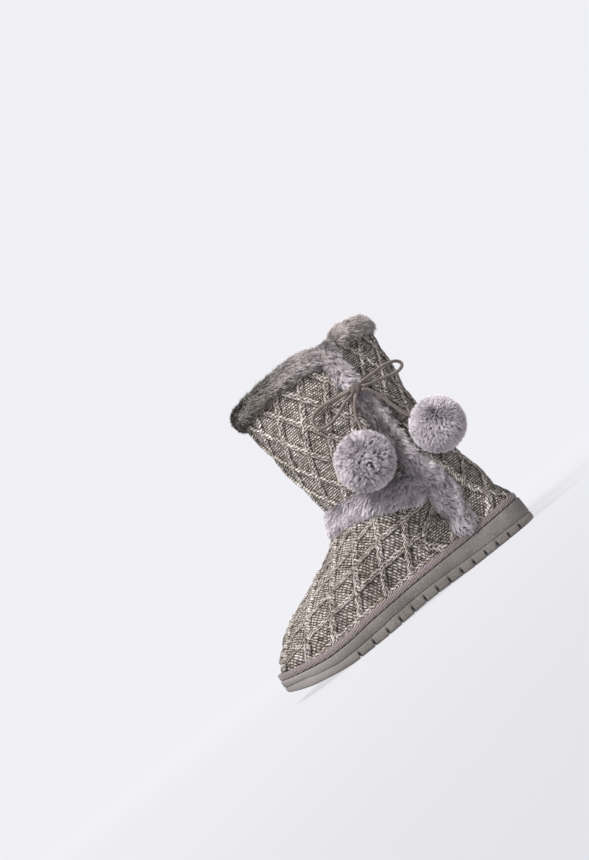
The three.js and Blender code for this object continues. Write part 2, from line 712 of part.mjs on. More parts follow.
// A collar rolls over the rim from its outer skirt to its lining, which is too thin for locks.
const FIRST_LINING_POINT = 6;
function makeCollar(from, to, stations) {
  const lining = WALL + COLLAR_LINING;
  const profile = [
    [0.1, -1], [0.95, -0.72], [1.05, -0.1], [0.72, 0.55], [-0.12, 1], [-0.95, 0.55], [-1.22, -0.1],
    [-1.15, -0.62], [-0.55, -0.9],
  ];
  const length = (to - from) * RIM_LENGTH;
  const shares = furStations(length, COLLAR_BULGE, stations);
  const rings = [];
  for (const [i, share] of shares.entries()) {
    const turn = from + (to - from) * share;
    const end = endRounding(share, length, COLLAR_BULGE);
    const tuck = turn > 1 || turn < SLIT_TURN ? tuckAt(turn - Math.floor(turn), SHAFT_HEIGHT) : 0;
    rings.push(profile.map(([out, up], j) => {
      const reach = out > 0 ? out * COLLAR_BULGE : (out * lining) / 1.22;
      const middle = -lining / 4;
      const locked = i > 1 && i < shares.length - 2 && j > 0 && j < FIRST_LINING_POINT;
      const lift = locked ? lockLift(i, j) * Math.sign(out + 0.3) : 0;
      const offset = middle + (reach - middle) * end + lift - tuck;
      const height = rimHeight(turn) + up * (up > 0 ? COLLAR_RISE : COLLAR_DROP) * end;
      return surface(turn, height, offset);
    }));
  }
  return toManifold(ringSolid(rings)).subtract(grownWall);
}

const TUFTS_ROUND = 18;
const TUFT_ROWS = 10;
function makePompom(place, size) {
  const ball = new THREE.SphereGeometry(size / 2, TUFTS_ROUND, TUFT_ROWS);
  const at = ball.attributes.position;
  for (let row = 1; row < TUFT_ROWS; row += 1) {
    for (let column = 0; column <= TUFTS_ROUND; column += 1) {
      const k = row * (TUFTS_ROUND + 1) + column;
      const lift = lockLift(row, column % TUFTS_ROUND) - LOCK_DEPTH;
      const grown = 1 + lift / (size / 2);
      at.setXYZ(k, at.getX(k) * grown, at.getY(k) * grown, at.getZ(k) * grown);
    }
  }
  ball.rotateX(Math.PI / 2);
  ball.translate(...place);
  return toManifold(ball);
}

function makeTube(points, steps, grow = 0) {
  const path = new THREE.CatmullRomCurve3(points.map((p) => new THREE.Vector3(...p)));
  const section = new THREE.Shape();
  const sides = 8;
  for (let i = 0; i < sides; i += 1) {
    const angle = (2 * Math.PI * i) / sides;
    const x = (LACE / 2 + grow) * Math.cos(angle);
    const y = (LACE / 2 + grow) * Math.sin(angle);
    if (i === 0) section.moveTo(x, y);
    else section.lineTo(x, y);
  }
  return toManifold(new THREE.ExtrudeGeometry(section, { steps, extrudePath: path, bevelEnabled: false }));
}

function makeKnotBall(grow) {
  const ball = new THREE.SphereGeometry(1, 10, 6);
  ball.scale(...KNOT_SIZE.map((size) => size + grow));
  ball.translate(...KNOT_PLACE);
  return toManifold(ball);
}

function makeKnot() {
  const clear = outerForm(GAP + CABLE_RISE);
  return makeTube(TIE_BAR, 6).subtract(clear).add(makeKnotBall(0));
}

function makeLace(points, steps, pompom) {
  const cord = makeTube(points, steps).subtract(makeKnotBall(GAP));
  return pompom ? cord.subtract(pompom) : cord;
}

const group = new THREE.Group();
group.name = 'sweater_boot';

function add(name, solid, material) {
  const mesh = new THREE.Mesh(toGeometry(solid), material);
  mesh.name = name;
  group.add(mesh);
}

add('sole', makeSole(), rubber);
add('upper', makeUpper(), knit);
add('insole', makeInsole(), fleece);
add('welt_cord', makeWelt(), tape);
const frontCollar = makeCollar(SLIT_TURN + COLLAR_GAP / RIM_LENGTH, NOTCH_TURN - COLLAR_GAP / RIM_LENGTH, 18);
const backCollar = makeCollar(NOTCH_TURN + COLLAR_GAP / RIM_LENGTH, 1 + SLIT_TURN - COLLAR_SLIT_GAP / RIM_LENGTH, 11);
add('collar_front', frontCollar, fur);
add('collar_back', backCollar, fur);
add('strip_outer', makePinchedStrip(), fur);
add('strip_inner', makeStrip(-1), fur);
add('ankle_band', makeBand(), fur);
add('pompom_front', makePompom(FRONT_POMPOM_PLACE, FRONT_POMPOM), fur);
add('pompom_back', makePompom(BACK_POMPOM_PLACE, BACK_POMPOM), fur);
add('lace_knot', makeKnot(), cordYarn);
add('lace_front_loop', makeLace(FRONT_LOOP, 22), cordYarn);
add('lace_back_loop', makeLace(BACK_LOOP, 26), cordYarn);
add('lace_front_end', makeLace(FRONT_END, 10, makePompom(FRONT_POMPOM_PLACE, FRONT_POMPOM + 3 * GAP)), cordYarn);
add('lace_back_end', makeLace(BACK_END, 12, makePompom(BACK_POMPOM_PLACE, BACK_POMPOM + 3 * GAP)), cordYarn);

export default group;
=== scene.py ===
# %% [markdown]
# # A knitted sweater boot with plush trim
#
# This lesson dresses the solids of a knitted boot for the left foot. The solids give the places
# and sizes. Here the shaft gets its cables and stitches, the collars, the band, the strips and
# the pompoms get their pile, and the sole, the welt and the lace get fine surfaces. Lengths are
# in millimetres while a shape is worked out and are turned into metres when it becomes a mesh.
# The toe points along +X, the outer side of the foot along +Y, and Z is up.

# %% Load the solids
import math

import bpy
import numpy as np
from mathutils import Matrix, Vector


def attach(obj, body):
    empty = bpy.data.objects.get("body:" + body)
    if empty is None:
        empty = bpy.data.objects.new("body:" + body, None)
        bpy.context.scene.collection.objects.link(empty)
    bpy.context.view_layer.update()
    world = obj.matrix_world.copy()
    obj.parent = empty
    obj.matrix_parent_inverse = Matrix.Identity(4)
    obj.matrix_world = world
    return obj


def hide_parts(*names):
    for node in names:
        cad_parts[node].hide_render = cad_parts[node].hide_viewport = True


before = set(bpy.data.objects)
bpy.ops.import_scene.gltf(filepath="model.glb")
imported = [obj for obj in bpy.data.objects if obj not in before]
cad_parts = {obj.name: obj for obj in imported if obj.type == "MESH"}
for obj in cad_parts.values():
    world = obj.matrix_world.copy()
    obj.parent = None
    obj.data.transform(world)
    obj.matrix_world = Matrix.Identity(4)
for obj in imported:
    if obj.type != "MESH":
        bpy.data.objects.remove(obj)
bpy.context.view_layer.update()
MM = 0.001


# %% [markdown]
# The camera stands at the outer side of the boot, 5 cm above the floor, and is rolled so that the
# boot leans in the picture as a boot that was laid down for its portrait. The lens is 50 mm long
# and the roll turns the camera about its own line of sight.

# %% Camera
CAMERA_PLACE = Vector((0.218, 1.0526, 0.052))
CAMERA_AIM = Vector((0.080, 0.0, 0.1917))
CAMERA_ROLL = math.radians(-38.1)

camera_data = bpy.data.cameras.new("portrait_camera")
camera_data.lens = 50
camera_data.sensor_width = 36
camera = bpy.data.objects.new("portrait_camera", camera_data)
bpy.context.scene.collection.objects.link(camera)
level = (CAMERA_AIM - CAMERA_PLACE).to_track_quat("-Z", "Y").to_matrix().to_4x4()
camera.matrix_world = Matrix.Translation(CAMERA_PLACE) @ level @ Matrix.Rotation(CAMERA_ROLL, 4, "Z")
bpy.context.scene.camera = camera
print("camera looks along", tuple(round(v, 3) for v in (CAMERA_AIM - CAMERA_PLACE).normalized()))

# %% [markdown]
# Most pieces here are grids of points: a shape is a function of two numbers, worked out for whole
# arrays at once. One helper turns such a grid into a mesh of quads. It can close the grid into a
# ring, and it can carry values for the materials, such as the place of a stitch.

# %% Grids into meshes


def grid_faces(rows, columns, closed=False, flip=False):
    """Quads of a grid of rows by columns. A closed grid joins its last column to its first."""
    around = columns if closed else columns - 1
    row, column = np.meshgrid(np.arange(rows - 1), np.arange(around), indexing="ij")
    following = (column + 1) % columns
    low, high = row * columns, (row + 1) * columns
    corners = [low + column, low + following, high + following, high + column]
    if flip:
        corners.reverse()
    return np.stack(corners, axis=-1).reshape(-1, 4)


def make_piece(name, points, faces, smooth=True, uv=None, values=None):
    """A mesh object from points in millimetres. Its uv and values are given once a point."""
    points = np.asarray(points, dtype=float).reshape(-1, 3)
    loose = [np.asarray(group) for group in (faces if isinstance(faces, list) else [faces])]
    mesh = bpy.data.meshes.new(name)
    mesh.vertices.add(len(points))
    mesh.vertices.foreach_set("co", (points * MM).astype(np.float32).ravel())
    sizes = np.concatenate([np.full(len(group), group.shape[1]) for group in loose])
    corners = np.concatenate([group.ravel() for group in loose]).astype(np.int32)
    starts = np.concatenate([[0], np.cumsum(sizes)[:-1]]).astype(np.int32)
    mesh.loops.add(len(corners))
    mesh.loops.foreach_set("vertex_index", corners)
    mesh.polygons.add(len(sizes))
    mesh.polygons.foreach_set("loop_start", starts)
    mesh.polygons.foreach_set("use_smooth", np.full(len(sizes), smooth))
    mesh.update(calc_edges=True)
    if uv is not None:
        layer = mesh.uv_layers.new(name="weave")
        layer.data.foreach_set("uv", np.asarray(uv, np.float32).reshape(-1, 2)[corners].ravel())
    for label, value in (values or {}).items():
        attribute = mesh.attributes.new(label, "FLOAT_VECTOR", "POINT")
        attribute.data.foreach_set("vector", np.asarray(value, np.float32).reshape(-1, 3).ravel())
    mesh.validate()
    piece = bpy.data.objects.new(name, mesh)
    bpy.context.scene.collection.objects.link(piece)
    triangles = int((sizes - 2).sum())
    print(f"{name}: {triangles} triangles")
    return piece


# %% [markdown]
# The lace comes before the rest, because it is a free cord and its places are fixed by the
# solids. It is a round braid 3.2 mm thick. It is tied in a bow over the strip: two loops run from
# the knot and back into it, and two ends hang down to the pompoms. A route is a smooth curve
# through given points, and the braid is a tube along it whose skin rises and falls
# where the strands cross.

# %% Lace routes
LACE = 3.2
FRONT_LOOP = [
    [30.6, 62.5, 181.6], [37, 61, 182.6], [46, 59, 184.6], [57, 56.8, 186], [66, 54.8, 184.6],
    [70.5, 53.7, 180.4], [70.6, 53.4, 175], [67, 54, 171], [58, 56, 170.2], [48, 58.6, 172.8],
    [39.5, 61.2, 176.2], [30.6, 63.6, 177.6],
]
BACK_LOOP = [
    [19, 62.6, 181.8], [14, 60.8, 182.2], [5, 56, 182.4], [-5, 50, 183.4], [-15, 43, 183.4],
    [-23, 37, 181.6], [-26.4, 34.6, 178], [-24.5, 35.4, 174.6], [-17, 40.6, 172.8],
    [-7, 47.6, 173.6], [4, 54.4, 175.2], [13, 59.8, 176.6], [19, 63, 177.8],
]
FRONT_END = [
    [28, 66, 175.8], [32, 65.4, 172.2], [36.6, 63, 166.6], [39.6, 61, 160], [41.6, 61.4, 153],
    [45, 63.6, 146.4], [49, 66.4, 140.6],
]
BACK_END = [
    [21.6, 65.6, 176], [17, 64.2, 171.6], [13, 62, 165], [10, 60, 157], [7.4, 58.6, 148],
    [4.4, 57.8, 139.5], [0.6, 57.8, 131.4],
]
TIE_BAR = [
    [14.4, 50.5, 179], [17, 55.4, 179.3], [21, 58.8, 179.6], [30, 59, 179.8],
    [34.2, 56.4, 179.8], [36.6, 53.8, 179.8],
]
KNOT_PLACE = [25.4, 62.4, 179.6]
KNOT_SIZE = [6.2, 4.6, 5.4]
BRAID_PITCH = 3.4
BRAID_LIFT = 0.16


def smooth_route(points, spacing=0.7):
    """A curve through the points, each stretch a cubic that leaves a point along the line between
    its neighbours, then walked in even steps of about the spacing."""
    points = np.asarray(points, float)
    padded = np.vstack([2 * points[0] - points[1], points, 2 * points[-1] - points[-2]])
    t = np.linspace(0, 1, 24, endpoint=False)[:, None]
    stretches = []
    for before, start, end, after in zip(padded[:-3], padded[1:-2], padded[2:-1], padded[3:]):
        stretches.append(0.5 * (2 * start + (end - before) * t
                                + (2 * before - 5 * start + 4 * end - after) * t**2
                                + (3 * start - before - 3 * end + after) * t**3))
    curve = np.vstack(stretches + [points[-1:]])
    walked = np.concatenate([[0], np.cumsum(np.linalg.norm(np.diff(curve, axis=0), axis=1))])
    even = np.linspace(0, walked[-1], max(int(walked[-1] / spacing), 8) + 1)
    return np.stack([np.interp(even, walked, curve[:, axis]) for axis in range(3)], axis=1)


def route_length(route):
    """The length of a route, in millimetres."""
    return float(np.linalg.norm(np.diff(route, axis=0), axis=1).sum())


def braided_cord(name, points, sides=18):
    """A tube round a route. Its radius rises and falls with two sets of strands that wind round
    it in opposite senses: lift times the product of their waves."""
    route = smooth_route(points)
    along = np.concatenate([[0], np.cumsum(np.linalg.norm(np.diff(route, axis=0), axis=1))])
    tangent = np.gradient(route, axis=0)
    tangent /= np.linalg.norm(tangent, axis=1, keepdims=True)
    across = np.cross(tangent, [0.0, 1.0, 0.0])
    across /= np.linalg.norm(across, axis=1, keepdims=True)
    front = np.cross(across, tangent)
    angle = np.linspace(0, 2 * np.pi, sides, endpoint=False)
    wave = 2 * np.pi * along[:, None] / BRAID_PITCH
    lift = BRAID_LIFT * np.cos(2 * angle + wave) * np.cos(2 * angle - wave)
    radius = LACE / 2 - BRAID_LIFT + lift
    ring = (across[:, None] * np.cos(angle)[:, None] + front[:, None] * np.sin(angle)[:, None])
    skin = route[:, None] + ring * radius[..., None]
    turns = np.broadcast_to(angle / (2 * np.pi), radius.shape)
    weave = np.stack([turns, along[:, None] / BRAID_PITCH + 0 * turns], axis=-1)
    caps = [route[:1] - tangent[:1] * 0.4, route[-1:] + tangent[-1:] * 0.4]
    points = np.vstack([skin.reshape(-1, 3)] + caps)
    count, last = len(route) * sides, (len(route) - 1) * sides
    here = np.arange(sides)
    after = (here + 1) % sides
    start_cap = np.stack([after, here, np.full(sides, count)], axis=1)
    end_cap = np.stack([last + here, last + after, np.full(sides, count + 1)], axis=1)
    uv = np.vstack([weave.reshape(-1, 2), [[0, 0], [0, 0]]])
    piece = make_piece(name, points, [grid_faces(len(route), sides, closed=True), start_cap, end_cap], uv=uv)
    return piece, route


lace_front_loop, front_loop_route = braided_cord("bow_front_loop", FRONT_LOOP)
lace_back_loop, back_loop_route = braided_cord("bow_back_loop", BACK_LOOP)
lace_front_end, front_end_route = braided_cord("bow_front_end", FRONT_END)
lace_back_end, back_end_route = braided_cord("bow_back_end", BACK_END)
for label, route in (("front loop", front_loop_route), ("back loop", back_loop_route),
                     ("front end", front_end_route), ("back end", back_end_route)):
    print(f"{label}: {route_length(route):.1f} mm long")

# %% [markdown]
# The knot is where the two halves cross, and a short bar of the same braid runs behind it to the
# two edges of the slit. The knot is a rounded lump with the two turns of the cord wound over it,
# so its skin carries slanted ridges a cord's width apart.

# %% Knot
def knot_lump(name, rows=40, columns=64):
    """A sphere stretched to the knot's three sizes. Ridges wind over it: a wave of its height and
    its turn lifts the skin by up to 0.7 mm."""
    polar = np.linspace(0.02, np.pi - 0.02, rows)[:, None]
    turn = np.linspace(0, 2 * np.pi, columns, endpoint=False)[None]
    ball = np.stack([np.sin(polar) * np.cos(turn), np.sin(polar) * np.sin(turn),
                     np.cos(polar) + 0 * turn], axis=-1)
    ridge = np.abs(np.sin(1.5 * (ball[..., 0] * 2.2 + ball[..., 2] * 1.6)))
    size = np.array(KNOT_SIZE) * (0.86 + 0.15 * ridge[..., None])
    skin = np.array(KNOT_PLACE) + ball * size
    weave = np.stack([3 * turn / np.pi + 0 * polar, polar * 3 + 0 * turn], axis=-1)
    return make_piece(name, skin, grid_faces(rows, columns, closed=True, flip=True), uv=weave)


lace_knot = knot_lump("bow_knot")
knot_bar, _ = braided_cord("bow_bar", TIE_BAR)

# %% [markdown]
# ## The form of the boot
#
# Every soft piece lies on one surface: the outside of the upper. It is a stack of level sections.
# Low down a section has the plan of the foot, and higher up it turns into the oval of the shaft.
# Tables hold the sections as shares of the boot's sizes, and a smooth curve through each column
# of a table gives the values in between.

# %% Sizes
SOLE_LENGTH = 265
HEEL_REACH = 40
BALL_WIDTH = 101
SIDE_HEIGHT = 20
TOE_SPRING = 12
ARCH_LIFT = 1.6
INSTEP_HEIGHT = 96
SHAFT_HEIGHT = 229
WALL = 3
SEAT_GAP = 0.6
SLIT_FROM_HEEL = 56
SLIT_FOOT = 110
SLIT_BLEND = 30
SLIT_GAP = 1.4
SLIT_OVERLAP = 11
CORNER_DIP, CORNER_FRONT, CORNER_BACK = 11, 20, 9
NOTCH_DIP, NOTCH_REACH = 9, 12
HEEL_ROUNDING, TOE_ROUNDING = 8, 5.3

# %% Tables
FOOTPRINT = np.array([
    # along, outer, inner, drift
    [0, 0.74, 0.72, 0], [0.2, 0.74, 0.71, 0], [0.38, 0.78, 0.69, 0], [0.5, 0.86, 0.72, 0],
    [0.62, 0.96, 0.84, 0], [0.75, 1.02, 0.98, 0], [0.87, 1.03, 1.02, 0.02], [1, 1, 1.03, 0.07],
])
SECTIONS = np.array([
    # level, back, front, half, foot, egg
    [0.1, 0.019, 0.977, 0.452, 1, 0], [0.313, 0.019, 0.974, 0.46, 1, 0],
    [0.385, 0.027, 0.961, 0.466, 0.93, 0.03], [0.438, 0.033, 0.943, 0.466, 0.85, 0.06],
    [0.49, 0.039, 0.922, 0.464, 0.76, 0.1], [0.542, 0.043, 0.897, 0.461, 0.66, 0.14],
    [0.594, 0.045, 0.864, 0.458, 0.55, 0.18], [0.646, 0.047, 0.822, 0.455, 0.45, 0.22],
    [0.698, 0.05, 0.777, 0.452, 0.35, 0.25], [0.75, 0.054, 0.732, 0.45, 0.26, 0.26],
    [0.813, 0.057, 0.677, 0.448, 0.16, 0.25], [0.875, 0.06, 0.631, 0.446, 0.08, 0.22],
    [0.938, 0.066, 0.594, 0.446, 0.03, 0.17], [1, 0.069, 0.562, 0.448, 0, 0.12],
    [1.045, 0.071, 0.541, 0.451, 0, 0.08], [1.105, 0.072, 0.532, 0.456, 0, 0.05],
    [1.195, 0.072, 0.536, 0.464, 0, 0.03], [1.33, 0.072, 0.547, 0.476, 0, 0.02],
    [1.48, 0.069, 0.558, 0.494, 0, 0], [1.63, 0.056, 0.565, 0.511, 0, 0],
    [1.78, 0.047, 0.571, 0.526, 0, 0], [1.93, 0.04, 0.577, 0.537, 0, 0],
    [2.15, 0.034, 0.581, 0.545, 0, 0],
])
SOLE_EDGE = np.array([
    # along, lift, arch, top, line
    [0, 0, 0, 1.15, 0.37], [0.16, 0, 0, 1.08, 0.39], [0.27, 0, 0, 1.045, 0.44],
    [0.36, 0, 0.55, 1.03, 0.5], [0.46, 0, 1, 1.01, 0.545], [0.57, 0, 0.5, 0.955, 0.515],
    [0.66, 0, 0, 0.9, 0.45], [0.77, 0, 0, 0.795, 0.39], [0.82, 0.1, 0, 0.79, 0.41],
    [0.855, 0.22, 0, 0.835, 0.485], [0.89, 0.36, 0, 0.91, 0.57], [0.925, 0.5, 0, 0.99, 0.7],
    [0.96, 0.7, 0, 1.08, 0.8], [1, 1, 0, 1.2, 0.88],
])
STRIP = np.array([
    # level, middle, width
    [0.3, 0.228, 1], [0.52, 0.219, 1.12], [0.8, 0.218, 1], [1, 0.235, 1], [1.22, 0.237, 0.82],
    [1.45, 0.236, 0.95], [1.58, 0.24, 0.92], [1.635, 0.241, 0.62], [1.69, 0.243, 0.9],
    [1.88, 0.246, 1],
])
BAND = np.array([
    # way, height
    [0, 0.81], [0.13, 0.88], [0.27, 0.935], [0.5, 1.02], [0.65, 1.06], [0.8, 1.08], [1, 1.078],
])


def table_curve(xs, ys):
    """A curve through the rows of a table that never overshoots them: a cubic between two rows,
    whose slope at a row is the harmonic mean of the slopes beside it, or flat at a peak."""
    xs, ys = np.asarray(xs, float), np.asarray(ys, float)
    slopes = np.diff(ys) / np.diff(xs)
    before, after = slopes[:-1], slopes[1:]
    same = before * after > 0
    mean = np.where(same, 2 * before * after / np.where(same, before + after, 1), 0)
    tangents = np.concatenate([slopes[:1], mean, slopes[-1:]])

    def curve(x):
        held = np.clip(x, xs[0], xs[-1])
        i = np.clip(np.searchsorted(xs, held, side="left") - 1, 0, len(xs) - 2)
        step = xs[i + 1] - xs[i]
        t = (held - xs[i]) / step
        h = t * t * (3 - 2 * t)
        ends = ys[i] * (1 - h) + ys[i + 1] * h
        return ends + step * t * (1 - t) * ((1 - t) * tangents[i] - t * tangents[i + 1])

    return curve


def height_of(level):
    """Up to 1 a level is a share of the instep height, above it a share of the shaft."""
    level = np.asarray(level, float)
    shaft = INSTEP_HEIGHT + (level - 1) * (SHAFT_HEIGHT - INSTEP_HEIGHT)
    return np.where(level <= 1, level * INSTEP_HEIGHT, shaft)


def smooth_step(low, high, x):
    """0 below low, 1 above high, and a soft S between them."""
    t = np.clip((x - low) / (high - low), 0, 1)
    return t * t * (3 - 2 * t)


outer_reach, inner_reach, drift = (table_curve(FOOTPRINT[:, 0], FOOTPRINT[:, k]) for k in (1, 2, 3))
section_heights = height_of(SECTIONS[:, 0])
back_at, front_at, half_at, foot_at, egg_at = (
    table_curve(section_heights, SECTIONS[:, k]) for k in range(1, 6))
lift_share, arch_share, top_share, line_share = (
    table_curve(SOLE_EDGE[:, 0], SOLE_EDGE[:, k]) for k in range(1, 5))
strip_heights = height_of(STRIP[:, 0])
strip_middle, strip_width = (table_curve(strip_heights, STRIP[:, k]) for k in (1, 2))
band_height = table_curve(BAND[:, 0], BAND[:, 1] * INSTEP_HEIGHT)


def footprint(along, side):
    """Plan of the last: y as a share of half the ball width. The reach of that side, times a
    rounding that falls to nothing at heel and toe, less the drift to the inner side."""
    power = np.where(along < 0.5, HEEL_ROUNDING, TOE_ROUNDING)
    rounding = np.sqrt(np.maximum(1 - np.abs(2 * along - 1) ** power, 0))
    reach = np.where(side > 0, outer_reach(along), inner_reach(along))
    return side * reach * rounding - drift(along)


def sole_bottom(along):
    return lift_share(along) * TOE_SPRING + arch_share(along) * ARCH_LIFT


def sole_top(along):
    return top_share(along) * SIDE_HEIGHT


def sole_line(along):
    return line_share(along) * SIDE_HEIGHT


# %% [markdown]
# A place on the upper is a turn and a height. The turn runs in even steps of length round a
# section: 0 at the heel, 0.5 at the toe, 1 at the heel again, with the outer side first. A chart
# of angles, worked out once, turns even lengths into angles of the oval.

# %% The surface of the upper
LEVELS = np.linspace(3, 250, 190)
ANGLES = np.linspace(0, np.pi, 361)
SHARES = np.linspace(0, 1, 361)


def section_point(height, angle, side):
    """A point of the bare upper. Its x goes from back to front with the cosine of the angle, and
    its y blends the plan of the foot into the oval of the shaft."""
    back, front = back_at(height) * SOLE_LENGTH, front_at(height) * SOLE_LENGTH
    along = (1 - np.cos(angle)) / 2
    oval = side * np.sin(angle) * (1 + egg_at(height) * np.cos(angle))
    foot = foot_at(height)
    share = foot * footprint(along, side) + (1 - foot) * oval
    x = back + (front - back) * along - HEEL_REACH
    return np.stack([x, share * half_at(height) * BALL_WIDTH, height + 0 * x], axis=-1)


def walk_chart(side):
    """For each level the share of the section's length at each angle, and the whole length."""
    points = section_point(LEVELS[:, None], ANGLES[None], side)
    steps = np.linalg.norm(np.diff(points, axis=1), axis=2)
    walked = np.concatenate([np.zeros((len(LEVELS), 1)), np.cumsum(steps, axis=1)], axis=1)
    return walked / walked[:, -1:], walked[:, -1]


outer_walk, outer_length = walk_chart(1)
inner_walk, inner_length = walk_chart(-1)
outer_angle = np.array([np.interp(SHARES, row, ANGLES) for row in outer_walk])
inner_angle = np.array([np.interp(SHARES, row, ANGLES) for row in inner_walk])


def read_chart(chart, height, across):
    """A value between the rows and columns of a chart, across being 0 to 1 over its columns."""
    row = np.clip((height - LEVELS[0]) / (LEVELS[1] - LEVELS[0]), 0, len(LEVELS) - 1.001)
    column = np.clip(across * (chart.shape[1] - 1), 0, chart.shape[1] - 1.001)
    r, c = row.astype(int), column.astype(int)
    fr, fc = row - r, column - c
    low = chart[r, c] * (1 - fc) + chart[r, c + 1] * fc
    high = chart[r + 1, c] * (1 - fc) + chart[r + 1, c + 1] * fc
    return low * (1 - fr) + high * fr


def ring_length(height):
    """The length round a section."""
    return np.interp(height, LEVELS, outer_length + inner_length)


def bare_surface(turn, height):
    """The point at a turn and a height."""
    turn, height = np.broadcast_arrays(np.asarray(turn, float), np.asarray(height, float))
    around = turn - np.floor(turn)
    outer = around <= 0.5
    share = np.where(outer, 2 * around, 2 * (1 - around))
    angle = np.where(outer, read_chart(outer_angle, height, share), read_chart(inner_angle, height, share))
    return section_point(height, angle, np.where(outer, 1, -1))


def outward(turn, height):
    """The normal: the way up crossed with the way round."""
    around = bare_surface(turn + 0.002, height) - bare_surface(turn - 0.002, height)
    up = bare_surface(turn, height + 0.6) - bare_surface(turn, height - 0.6)
    normal = np.cross(up, around)
    return normal / np.linalg.norm(normal, axis=-1, keepdims=True)


def surface(turn, height, offset):
    """The upper's surface, grown by an offset along its normal."""
    return bare_surface(turn, height) + outward(turn, height) * np.asarray(offset)[..., None]


def turn_at(height, from_heel, side):
    """The turn where a section is a given way from the heel end of the sole."""
    height = np.asarray(height, float)
    back, front = back_at(height) * SOLE_LENGTH, front_at(height) * SOLE_LENGTH
    along = np.clip((from_heel - back) / (front - back), 0, 1)
    chart = outer_walk if side > 0 else inner_walk
    share = read_chart(chart, height, np.arccos(1 - 2 * along) / np.pi)
    return share / 2 if side > 0 else 1 - share / 2


SLIT_TURN = float(turn_at(SHAFT_HEIGHT, SLIT_FROM_HEEL, 1))
NOTCH_TURN = float(turn_at(SHAFT_HEIGHT, SLIT_FROM_HEEL, -1))
RIM_LENGTH = float(ring_length(SHAFT_HEIGHT))


def rim_height(turn):
    """The top edge of the wall: level, with a dip at the slit's corner and one at the notch."""
    around = turn - np.floor(turn)
    reach = np.where(around > SLIT_TURN, CORNER_FRONT, CORNER_BACK)
    from_slit = (around - SLIT_TURN) * RIM_LENGTH / reach
    from_notch = (around - NOTCH_TURN) * RIM_LENGTH / NOTCH_REACH
    corner = CORNER_DIP * np.exp(-from_slit**2) * np.where(around > SLIT_TURN, 1, 0.5)
    return SHAFT_HEIGHT - corner - NOTCH_DIP * np.exp(-from_notch**2)


TUCK = WALL + SLIT_GAP


def tuck_at(turn, height):
    """How far the back panel lies inside, where it is tucked in behind the front panel."""
    local = np.where(turn > 0.5, turn - 1, turn)
    up = smooth_step(SLIT_FOOT, SLIT_FOOT + SLIT_BLEND, height)
    return TUCK * up * smooth_step(-0.06, SLIT_TURN - 0.02, local)


print(f"slit at turn {SLIT_TURN:.4f}, notch at {NOTCH_TURN:.4f}, rim {RIM_LENGTH:.0f} mm round")

# %% [markdown]
# ## The knitted upper
#
# The shaft has travelling cables that cross and leave diamonds between them. On the foot leaning
# ribs cross ribs that run along it. A stitch is only 2 to 3 millimetres wide, so the cables are
# raised in the mesh and the stitches are left to the material, which reads the number of the
# stitch from the weave map.

# %% Knit sizes
DIAMOND_WIDTH = 27
DIAMOND_HEIGHT = 40
NODE_X, NODE_Z = 77, 183.4
FOOT_RIB_STEP = 28
FOOT_RIB_LEAN = 0.62
FOOT_RIB_START = 11
FOOT_CROSS_STEP = 18.5
FOOT_CROSS_START = 45
CABLE_HALF = 3
CABLE_LIFT = 2.1
CABLE_PITCH = 9
STITCH_WIDTH = 2.3
STITCH_HEIGHT = 2
FOOT_STITCH_WIDTH = 3.4
FOOT_STITCH_HEIGHT = 2.7
FOOT_STITCH_LEAN = 0.6
UPPER_COLUMNS = 560
UPPER_ROWS = 176


def line_distance(phase, spacing):
    """How far a place is from the nearest line of a family, given its phase in lines."""
    return (phase - np.round(phase)) * spacing


def cable_height(distance, along):
    """A rope of two strands: a half round, waved along its length, the wave leaning across."""
    body = np.sqrt(np.maximum(1 - (distance / CABLE_HALF) ** 2, 0))
    wave = np.cos(2 * np.pi * along / CABLE_PITCH + 1.1 * distance)
    return body * (1 + 0.22 * wave)


def knit_places(turn, height):
    """Where each place lies in the fabric: the phases of the two families of cables, the way
    along each, and the count of stitches across and up."""
    point = bare_surface(turn, height)
    x, y = point[..., 0], point[..., 1]
    side = np.where(y >= 0, 1, -1)
    start = turn_at(np.full(1, NODE_Z), np.full(1, NODE_X + HEEL_REACH), 1)[0]
    around = (turn - start) * RIM_LENGTH
    fall_a = around / DIAMOND_WIDTH + (height - NODE_Z) / DIAMOND_HEIGHT
    fall_b = around / DIAMOND_WIDTH - (height - NODE_Z) / DIAMOND_HEIGHT
    slant = 1 / math.hypot(1 / DIAMOND_WIDTH, 1 / DIAMOND_HEIGHT)
    from_toe = SOLE_LENGTH - HEEL_REACH - x
    half = BALL_WIDTH / 2 * np.abs(footprint(np.clip((x + HEEL_REACH) / SOLE_LENGTH, 0.02, 0.98), side))
    girth = height + 0.8 * np.maximum(half - np.abs(y), 0)
    rib = (from_toe - FOOT_RIB_LEAN * girth - FOOT_RIB_START) / FOOT_RIB_STEP
    cross = (girth - FOOT_CROSS_START - 0.03 * from_toe) / FOOT_CROSS_STEP
    return dict(around=around, fall_a=fall_a, fall_b=fall_b, slant=slant, from_toe=from_toe,
                girth=girth, rib=rib, cross=cross)


def on_foot(turn, height):
    """True on the front of the foot: between the two strips and below the band."""
    outer_edge = turn_at(height, strip_middle(height) * SOLE_LENGTH, 1)
    inner_edge = turn_at(height, strip_middle(height) * SOLE_LENGTH, -1)
    share = np.clip((turn - outer_edge) / (inner_edge - outer_edge), 0, 1)
    way = 1 - np.abs(2 * share - 1)
    between = (turn > outer_edge) & (turn < inner_edge)
    return between & (height < band_height(way))


